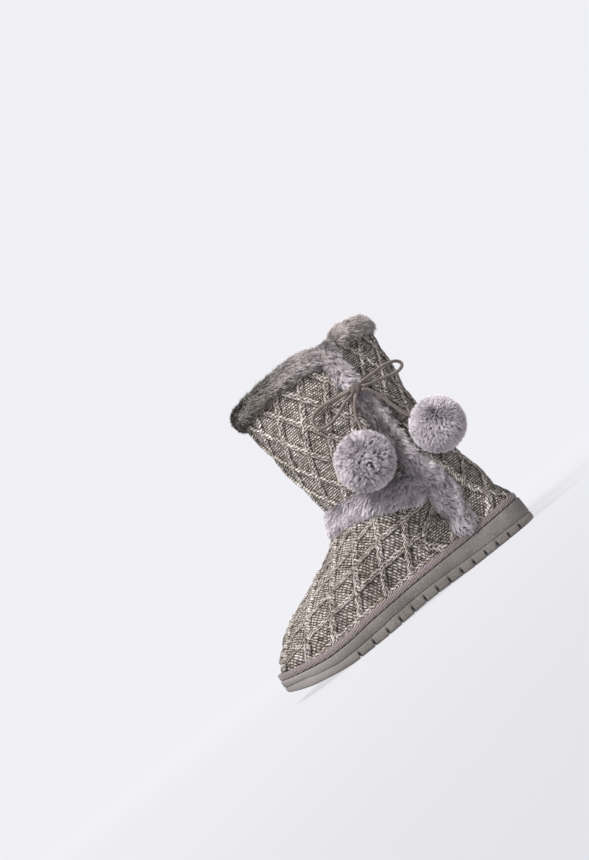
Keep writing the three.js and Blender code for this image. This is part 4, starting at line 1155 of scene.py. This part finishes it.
# %% Node helpers
class Finish:
    """A material under construction. Call node() to add a step and get its outputs."""

    def __init__(self, name, roughness, sheen=0.0, sheen_tint=(1, 1, 1), specular=0.3):
        self.material = bpy.data.materials.new(name)
        self.material.use_nodes = True
        self.tree = self.material.node_tree
        self.shader = self.tree.nodes["Principled BSDF"]
        self.shader.inputs["Roughness"].default_value = roughness
        self.shader.inputs["Specular IOR Level"].default_value = specular
        self.shader.inputs["Sheen Weight"].default_value = sheen
        self.shader.inputs["Sheen Roughness"].default_value = 0.5
        self.shader.inputs["Sheen Tint"].default_value = (*sheen_tint, 1)

    def node(self, kind, settings=None, **sockets):
        step = self.tree.nodes.new(kind)
        for key, value in (settings or {}).items():
            setattr(step, key, value)
        for key, value in sockets.items():
            self.give(step.inputs[int(key[1:])] if key[0] == "_" else step.inputs[key], value)
        return step.outputs

    def give(self, socket, value):
        if isinstance(value, bpy.types.NodeSocket):
            self.tree.links.new(value, socket)
        else:
            socket.default_value = value

    def math(self, operation, a, b=0.0, c=0.0):
        return self.node("ShaderNodeMath", {"operation": operation}, _0=a, _1=b, _2=c)[0]

    def mix(self, share, first, second, blend="MIX"):
        step = self.tree.nodes.new("ShaderNodeMix")
        step.data_type, step.blend_type = "RGBA", blend
        self.give(step.inputs[0], share)
        self.give(step.inputs[6], first)
        self.give(step.inputs[7], second)
        return step.outputs[2]

    def ramp(self, share, stops):
        step = self.tree.nodes.new("ShaderNodeValToRGB")
        band = step.color_ramp
        while len(band.elements) < len(stops):
            band.elements.new(0.5)
        for element, (place, colour) in zip(band.elements, stops):
            element.position, element.color = place, (*colour, 1)
        self.give(step.inputs[0], share)
        return step.outputs[0]

    def noise(self, vector, scale, detail=2.0, roughness=0.5):
        return self.node("ShaderNodeTexNoise", {"noise_dimensions": "3D"}, Vector=vector, Scale=scale,
                         Detail=detail, Roughness=roughness)[0]

    def smooth(self, value, low, high):
        """0 at low and 1 at high, with a soft S between them."""
        return self.node("ShaderNodeMapRange", {"interpolation_type": "SMOOTHSTEP"}, _0=value, _1=float(low),
                         _2=float(high), _3=0.0, _4=1.0)[0]

    def places(self):
        return self.node("ShaderNodeTexCoord")[3]

    def bump(self, height, strength, distance):
        return self.node("ShaderNodeBump", None, Height=height, Strength=strength, Distance=distance)[0]

    def end(self, colour, normal=None):
        self.give(self.shader.inputs["Base Color"], colour)
        if normal is not None:
            self.give(self.shader.inputs["Normal"], normal)
        return self.material


def grey(r, g, b):
    """A colour given as on a screen, 0 to 255, turned into the linear values a shader needs."""
    def linear(value):
        value /= 255
        return value / 12.92 if value <= 0.04045 else ((value + 0.055) / 1.055) ** 2.4
    return tuple(linear(v) for v in (r, g, b))


# %% [markdown]
# The yarn is marled, light and dark, so each stitch has its own tone. The weave map counts
# stitches: its whole part names a stitch, and its fraction is the place within it. Between the
# cables each row of stitches is shifted by half a stitch against the next, like bricks. A cable is
# a rope of two strands, and where two cables cross they take turns to lie on top.
# The relief of stitches and cables is also painted into the colour as shade: dark in the gaps and at the feet
# of the cables, light on the tops.

# %% Knit finish
CABLE_SPACING = 22.4


def knit_finish():
    f = Finish("marled_wool", 0.92, sheen=0.06, specular=0.1)
    weave = f.node("ShaderNodeUVMap", {"uv_map": "weave"})[0]
    across, up, _ = f.node("ShaderNodeSeparateXYZ", None, Vector=weave)
    place = f.places()
    across = f.math("MULTIPLY_ADD", f.noise(place, 150.0, 1.0), 1.1, across)
    up = f.math("MULTIPLY_ADD", f.noise(place, 110.0, 1.0), 0.9, up)
    cables = f.node("ShaderNodeAttribute", {"attribute_name": "cables"})[1]
    first, second, _ = f.node("ShaderNodeSeparateXYZ", None, Vector=cables)

    def rope(phase, other):
        """Share of a cable at this place, the painted shadow at its foot, and the painted light and
        shade of its two strands: a squared sine of the way across, which sways along the cable."""
        aside = f.math("MULTIPLY", f.math("SUBTRACT", phase, f.math("ROUND", phase)), CABLE_SPACING)
        along = f.math("MULTIPLY", other, CABLE_SPACING)
        far = f.math("ABSOLUTE", aside)
        inside = f.smooth(far, CABLE_HALF + 0.2, CABLE_HALF - 0.5)
        foot_shadow = f.smooth(far, CABLE_HALF + 1.9, CABLE_HALF - 0.2)
        sway = f.math("MULTIPLY", f.math("SINE", f.math("MULTIPLY", along, 2 * math.pi / CABLE_PITCH)), 0.7)
        strand = f.math("SINE", f.math("MULTIPLY", f.math("ADD", aside, sway), math.pi / CABLE_HALF))
        strand = f.math("POWER", f.math("ABSOLUTE", strand), 0.7)
        ply = f.math("SINE", f.math("MULTIPLY", f.math("MULTIPLY_ADD", far, 1.4, along), 2 * math.pi / 3.1))
        mark = f.math("MULTIPLY_ADD", strand, 0.44, f.math("MULTIPLY_ADD", ply, 0.2, 0.22))
        return inside, foot_shadow, mark

    in_first, by_first, mark_first = rope(first, second)
    in_second, by_second, mark_second = rope(second, first)
    crossing = f.math("ADD", f.math("ROUND", first), f.math("ROUND", second))
    over = f.math("MODULO", f.math("ADD", crossing, 1000.0), 2.0)
    share_first = f.math("MULTIPLY", in_first, f.math("SUBTRACT", 1.0, f.math("MULTIPLY", in_second, over)))
    under = f.math("MULTIPLY", in_first, f.math("SUBTRACT", 1.0, over))
    share_second = f.math("MULTIPLY", in_second, f.math("SUBTRACT", 1.0, under))

    row = f.math("FLOOR", up)
    brick = f.math("MULTIPLY_ADD", f.math("MODULO", f.math("ADD", row, 1000.0), 2.0), 0.5, across)
    side = f.math("SINE", f.math("MULTIPLY", f.math("FRACT", brick), math.pi))
    rise = f.math("SINE", f.math("MULTIPLY", f.math("FRACT", up), math.pi))
    stitch = f.math("MULTIPLY", f.math("POWER", side, 0.6), rise)
    cell = f.node("ShaderNodeCombineXYZ", None, X=f.math("FLOOR", brick), Y=row, Z=0.0)[0]
    speck = f.node("ShaderNodeTexWhiteNoise", {"noise_dimensions": "2D"}, Vector=cell)[0]
    fill = f.math("MULTIPLY_ADD", stitch, 0.62, f.math("MULTIPLY_ADD", speck, 0.2, 0.07))
    # Painted shadow at the feet of the cables darkens the fill.
    nearby = f.math("MAXIMUM", by_first, by_second)
    fill = f.math("MULTIPLY", fill, f.math("MULTIPLY_ADD", nearby, -0.45, 1.0))
    relief = f.mix(share_first, fill, mark_first)
    relief = f.mix(share_second, relief, mark_second)
    fuzz = f.noise(place, 800.0, 3.0, 0.7)
    tone = f.noise(place, 40.0, 2.0)
    drawn = f.node("ShaderNodeCombineXYZ", None, X=f.math("MULTIPLY", across, 0.4),
                   Y=f.math("MULTIPLY", row, 7.7), Z=0.0)[0]
    streak = f.noise(drawn, 1.0, 1.0)
    marl = f.math("MULTIPLY_ADD", fuzz, 0.6, f.math("MULTIPLY_ADD", streak, 0.45, -0.02))
    marl = f.math("MULTIPLY_ADD", f.math("SUBTRACT", tone, 0.5), 0.25, marl)
    yarn = f.ramp(marl, [(0.37, grey(112, 102, 96)), (0.46, grey(160, 150, 144)), (0.54, grey(200, 191, 186)),
                         (0.64, grey(240, 232, 228))])
    # Painted shade: the relief turns into dark gaps between stitches and light tops of stitches and strands.
    shade = f.ramp(relief, [(0.0, grey(24, 21, 17)), (0.2, grey(72, 67, 61)), (0.46, grey(174, 171, 168)),
                            (0.8, grey(255, 255, 255))])
    colour = f.mix(1.0, yarn, shade, "MULTIPLY")
    height = f.math("MULTIPLY_ADD", fuzz, 0.2, relief)
    return f.end(colour, f.bump(height, 0.9, 0.001))


# %% [markdown]
# The pile is painted dark at its root and pale at its tip, as shade deep in the pile. The tone of
# each lock and a slow patch move the whole fibre up or down that scale; on the outer strip the
# patch also holds painted shade. Sheen gives the soft edge of light that fine fibres have.

# %% Pile finish
def pile_finish(name, colours, other=None, axis=0, low=0.0, high=1.0):
    """Three colours up the fibre. Three others take over along an axis, from low to high."""
    f = Finish(name, 0.85, sheen=0.35, specular=0.2)
    fibre = f.node("ShaderNodeAttribute", {"attribute_name": "fibre"})[1]
    way, tone, slow = f.node("ShaderNodeSeparateXYZ", None, Vector=fibre)
    level = f.math("MULTIPLY_ADD", f.math("SUBTRACT", tone, 0.5), 0.45, way)
    level = f.math("MULTIPLY_ADD", slow, 0.13, level)
    colour = f.ramp(level, list(zip((0.05, 0.55, 1.0), colours)))
    if other:
        along = f.node("ShaderNodeSeparateXYZ", None, Vector=f.places())[axis]
        colour = f.mix(f.smooth(along, low, high), colour, f.ramp(level, list(zip((0.05, 0.55, 1.0), other))))
    return f.end(colour)


# %% [markdown]
# The outsole is a matt foamed rubber with a fine grain, painted paler toward the toe as light and
# near black inside its grooves as shade. The welt is a twill tape with slanted ridges 7 mm apart.
# The lace is a braid whose strands cross, painted darker on the knot as shade, and the lining is
# short dark plush.

# %% Rubber, tape, braid and lining finishes
def rubber_finish():
    f = Finish("foamed_rubber", 0.7, specular=0.35)
    place = f.places()
    grain = f.noise(place, 1100.0, 2.0, 0.6)
    cloud = f.noise(place, 26.0, 3.0, 0.55)
    mixed = f.math("MULTIPLY_ADD", grain, 0.6, f.math("MULTIPLY", cloud, 0.4))
    colour = f.ramp(mixed, [(0.32, grey(84, 80, 76)), (0.5, grey(110, 105, 101)),
                            (0.68, grey(140, 135, 132))])
    # Painted light: the rubber turns paler towards the toe.
    toe_painted_light = f.smooth(f.node("ShaderNodeSeparateXYZ", None, Vector=place)[0], 0.13, 0.235)
    colour = f.mix(f.math("MULTIPLY", toe_painted_light, 0.55), colour, (*grey(158, 150, 150), 1))
    # Painted shade: near black inside the grooves.
    groove = f.node("ShaderNodeAttribute", {"attribute_name": "groove"})[1]
    inside = f.node("ShaderNodeSeparateXYZ", None, Vector=groove)[0]
    colour = f.mix(inside, colour, (*grey(22, 20, 18), 1))
    return f.end(colour, f.bump(grain, 0.5, 0.0004))


def tape_finish():
    f = Finish("twill_tape", 0.85, sheen=0.2, specular=0.2)
    weave = f.node("ShaderNodeUVMap", {"uv_map": "weave"})[0]
    along, up, _ = f.node("ShaderNodeSeparateXYZ", None, Vector=weave)
    slant = f.math("MULTIPLY_ADD", up, 3.5, along)
    ridge = f.math("MULTIPLY_ADD", f.math("SINE", f.math("MULTIPLY", slant, 2 * math.pi / 7)), 0.5, 0.5)
    fleck = f.noise(f.places(), 700.0, 3.0, 0.6)
    mixed = f.math("MULTIPLY_ADD", ridge, 0.38, f.math("MULTIPLY", fleck, 0.72))
    colour = f.ramp(mixed, [(0.2, grey(76, 68, 65)), (0.5, grey(112, 101, 102)), (0.85, grey(152, 139, 142))])
    return f.end(colour, f.bump(mixed, 0.7, 0.0006))


def braid_finish(name, dark, light):
    f = Finish(name, 0.8, sheen=0.2, specular=0.25)
    weave = f.node("ShaderNodeUVMap", {"uv_map": "weave"})[0]
    turn_part, along, _ = f.node("ShaderNodeSeparateXYZ", None, Vector=weave)
    twice = f.math("MULTIPLY", turn_part, 2.0)
    strands = [f.math("SINE", f.math("MULTIPLY", f.math(sense, twice, along), 2 * math.pi))
               for sense in ("ADD", "SUBTRACT")]
    crossing = f.math("MULTIPLY_ADD", f.math("MULTIPLY", *strands), 0.5, 0.5)
    fleck = f.noise(f.places(), 800.0, 2.0)
    mixed = f.math("MULTIPLY_ADD", crossing, 0.5, f.math("MULTIPLY", fleck, 0.5))
    colour = f.ramp(mixed, [(0.2, dark), (0.8, light)])
    return f.end(colour, f.bump(mixed, 0.5, 0.0004))


def lining_finish():
    f = Finish("short_plush", 0.95, sheen=0.3, specular=0.1)
    place = f.places()
    tuft = f.noise(place, 420.0, 3.0, 0.7)
    cloud = f.noise(place, 45.0, 2.0)
    mixed = f.math("MULTIPLY_ADD", tuft, 0.6, f.math("MULTIPLY", cloud, 0.4))
    colour = f.ramp(mixed, [(0.3, grey(44, 42, 43)), (0.5, grey(66, 63, 65)), (0.75, grey(92, 88, 90))])
    return f.end(colour, f.bump(tuft, 0.8, 0.0012))


LILAC_TONES = (grey(62, 54, 57), grey(154, 144, 150), grey(226, 217, 223))
TAUPE_TONES = (grey(40, 35, 35), grey(130, 120, 124), grey(226, 217, 222))
CORNER_TONES = (grey(38, 33, 32), grey(116, 107, 107), grey(194, 184, 186))
TOE_END_SHADE_TONES = (grey(25, 22, 19), grey(76, 70, 64), grey(146, 137, 130))
ASH_TONES = (grey(42, 37, 35), grey(124, 115, 113), grey(194, 184, 181))
POMPOM_TONES = (grey(92, 84, 88), grey(158, 148, 154), grey(222, 213, 219))
LILAC = pile_finish("lilac_pile", LILAC_TONES)
POMPOM_PILE = pile_finish("pompom_pile", POMPOM_TONES)
STRIP_PILE = pile_finish("taupe_pile", TAUPE_TONES, CORNER_TONES, axis=2, low=0.188, high=0.222)
# The front collar's colour turns into painted shade towards its toe end, from x 45 to 100 mm.
COLLAR_TOE_SHADE_PILE = pile_finish("collar_pile_toe_shade", CORNER_TONES, TOE_END_SHADE_TONES, axis=0, low=0.045, high=0.1)
BACK_PILE = pile_finish("ash_pile", ASH_TONES)
finishes = {
    upper_knit: knit_finish(), lining: lining_finish(), insole: lining_finish(),
    strip_outer: STRIP_PILE, strip_inner: STRIP_PILE, ankle_band: LILAC,
    collar_front: COLLAR_TOE_SHADE_PILE, collar_back: BACK_PILE, pompom_front: POMPOM_PILE, pompom_back: POMPOM_PILE,
    outsole_piece: rubber_finish(), welt_piece: tape_finish(),
}
braid = braid_finish("round_braid", grey(78, 68, 63), grey(134, 122, 117))
# The knot's copy of the braid is darker: painted shade on the knot.
shaded_knot_braid = braid_finish("shaded_knot_braid", grey(58, 50, 46), grey(110, 99, 94))
for piece in (lace_front_loop, lace_back_loop, lace_front_end, lace_back_end, knot_bar):
    finishes[piece] = braid
finishes[lace_knot] = shaded_knot_braid
for piece, finish in finishes.items():
    piece.data.materials.clear()
    piece.data.materials.append(finish)
print(len(bpy.data.materials), "finishes")

# %% [markdown]
# ## Putting it together
#
# The boot is one body, so each piece rides on the root. Each new piece takes the place of its
# solid.

# %% Bodies and solids
stands_for = {
    upper_knit: ("upper", "knit"), insole: ("insole", "fleece"), outsole_piece: ("sole", "sole_rubber"),
    welt_piece: ("welt_cord", "tape"), collar_front: ("collar_front", "fur"),
    collar_back: ("collar_back", "fur"), strip_outer: ("strip_outer", "fur"),
    strip_inner: ("strip_inner", "fur"), ankle_band: ("ankle_band", "fur"),
    pompom_front: ("pompom_front", "fur"), pompom_back: ("pompom_back", "fur"),
    lace_knot: ("lace_knot", "cord"), lace_front_loop: ("lace_front_loop", "cord"),
    lace_back_loop: ("lace_back_loop", "cord"), lace_front_end: ("lace_front_end", "cord"),
    lace_back_end: ("lace_back_end", "cord"),
}
for piece, (node, slot) in stands_for.items():
    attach(piece, "root")
    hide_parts(node)
for piece, slot in ((lining, "fleece"), (knot_bar, "cord")):
    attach(piece, "root")

# %% Cords


def declare(route):
    """The length of a stretch of the lace in metres; it is worked out and not kept."""
    route_length(route) * MM


declare(front_loop_route)
declare(back_loop_route)
declare(front_end_route)
declare(back_end_route)

# %% [markdown]
# The floor is a pale sheet that sweeps up behind the boot. It glows by itself, less where the key
# light falls on it, so the paper stays even, and a little less to the right, as painted shade. A
# small soft light hangs above on the toe side, and a wide weak one fills from the camera. The world
# is as pale as the paper to the camera and dimmer to the boot, so that no edge shows from any side.

# %% Studio
SWEEP_HALF = 6000
SWEEP_NEAR, SWEEP_BEND, SWEEP_RADIUS = 4000, -2600, 2200
SWEEP_TOP_START, SWEEP_TOP = 2600, 6000
LIT_PLACE = (0.35, 0.6)
ROOM_LIGHT, SEEN_EXTRA = 0.38, 0.54


def sweep():
    """A floor that runs back and then curves up in a quarter circle into a wall."""
    bend = np.linspace(0.05, np.pi / 2, 24)
    run = np.concatenate([np.linspace(SWEEP_NEAR, SWEEP_BEND, 12), SWEEP_BEND - SWEEP_RADIUS * np.sin(bend),
                          np.full(6, SWEEP_BEND - SWEEP_RADIUS)])
    rise = np.concatenate([np.zeros(12), SWEEP_RADIUS * (1 - np.cos(bend)),
                           np.linspace(SWEEP_TOP_START, SWEEP_TOP, 6)])
    side = np.array([-SWEEP_HALF, SWEEP_HALF])[None]
    points = np.stack(np.broadcast_arrays(side, run[:, None], rise[:, None]), axis=-1)
    return make_piece("studio_sweep", points, grid_faces(len(run), 2))


def paper_finish():
    """Dull paper that glows. The glow falls by a quarter round the place where the key light
    lands, as the exponential of less the square of the distance, and by a tenth to the right, a painted
    shade."""
    f = Finish("pale_paper", 0.9, specular=0.0)
    x, y, _ = f.node("ShaderNodeSeparateXYZ", None, Vector=f.places())
    reach_x = f.math("POWER", f.math("SUBTRACT", x, LIT_PLACE[0]), 2.0)
    reach_y = f.math("POWER", f.math("SUBTRACT", y, LIT_PLACE[1]), 2.0)
    lit = f.math("EXPONENT", f.math("MULTIPLY", f.math("ADD", reach_x, reach_y), -1.0))
    painted_shade_right = f.smooth(f.math("MULTIPLY_ADD", x, -0.7, y), 0.0, 1.0)
    glow = f.math("MULTIPLY_ADD", lit, -0.24, 0.93)
    f.shader.inputs["Emission Color"].default_value = (*grey(240, 240, 244), 1)
    f.give(f.shader.inputs["Emission Strength"], f.math("MULTIPLY_ADD", painted_shade_right, -0.1, glow))
    return f.end((0.12, 0.12, 0.125, 1))


floor = sweep()
floor.data.materials.append(paper_finish())


def soft_light(name, place, aim, size, power, colour=(1, 1, 1)):
    """A square light at a place, turned to its aim, with its size in metres and power in watts."""
    data = bpy.data.lights.new(name, "AREA")
    data.shape, data.size = "SQUARE", size
    data.energy, data.color = power, colour
    lamp = bpy.data.objects.new(name, data)
    bpy.context.scene.collection.objects.link(lamp)
    lamp.location = place
    lamp.rotation_euler = (Vector(aim) - Vector(place)).to_track_quat("-Z", "Y").to_euler()
    return lamp


soft_light("key_light", (0.45, 0.75, 1.1), (0.10, 0, 0.10), 0.4, 25, (1, 0.99, 0.98))
soft_light("fill_light", (0.9, 1.2, 0.3), (0.08, 0, 0.12), 1.0, 3)


def pale_room():
    """A pale world. To the camera its strength is the room's light plus the extra."""
    world = bpy.data.worlds.new("pale_room")
    world.use_nodes = True
    nodes, links = world.node_tree.nodes, world.node_tree.links
    room = nodes["Background"]
    room.inputs[0].default_value = (0.93, 0.94, 0.98, 1)
    seen = nodes.new("ShaderNodeLightPath")
    strength = nodes.new("ShaderNodeMath")
    strength.operation = "MULTIPLY_ADD"
    strength.inputs[1].default_value = SEEN_EXTRA
    strength.inputs[2].default_value = ROOM_LIGHT
    links.new(seen.outputs["Is Camera Ray"], strength.inputs[0])
    links.new(strength.outputs[0], room.inputs[1])
    return world


bpy.context.scene.world = pale_room()
bpy.context.scene.view_settings.view_transform = "Standard"
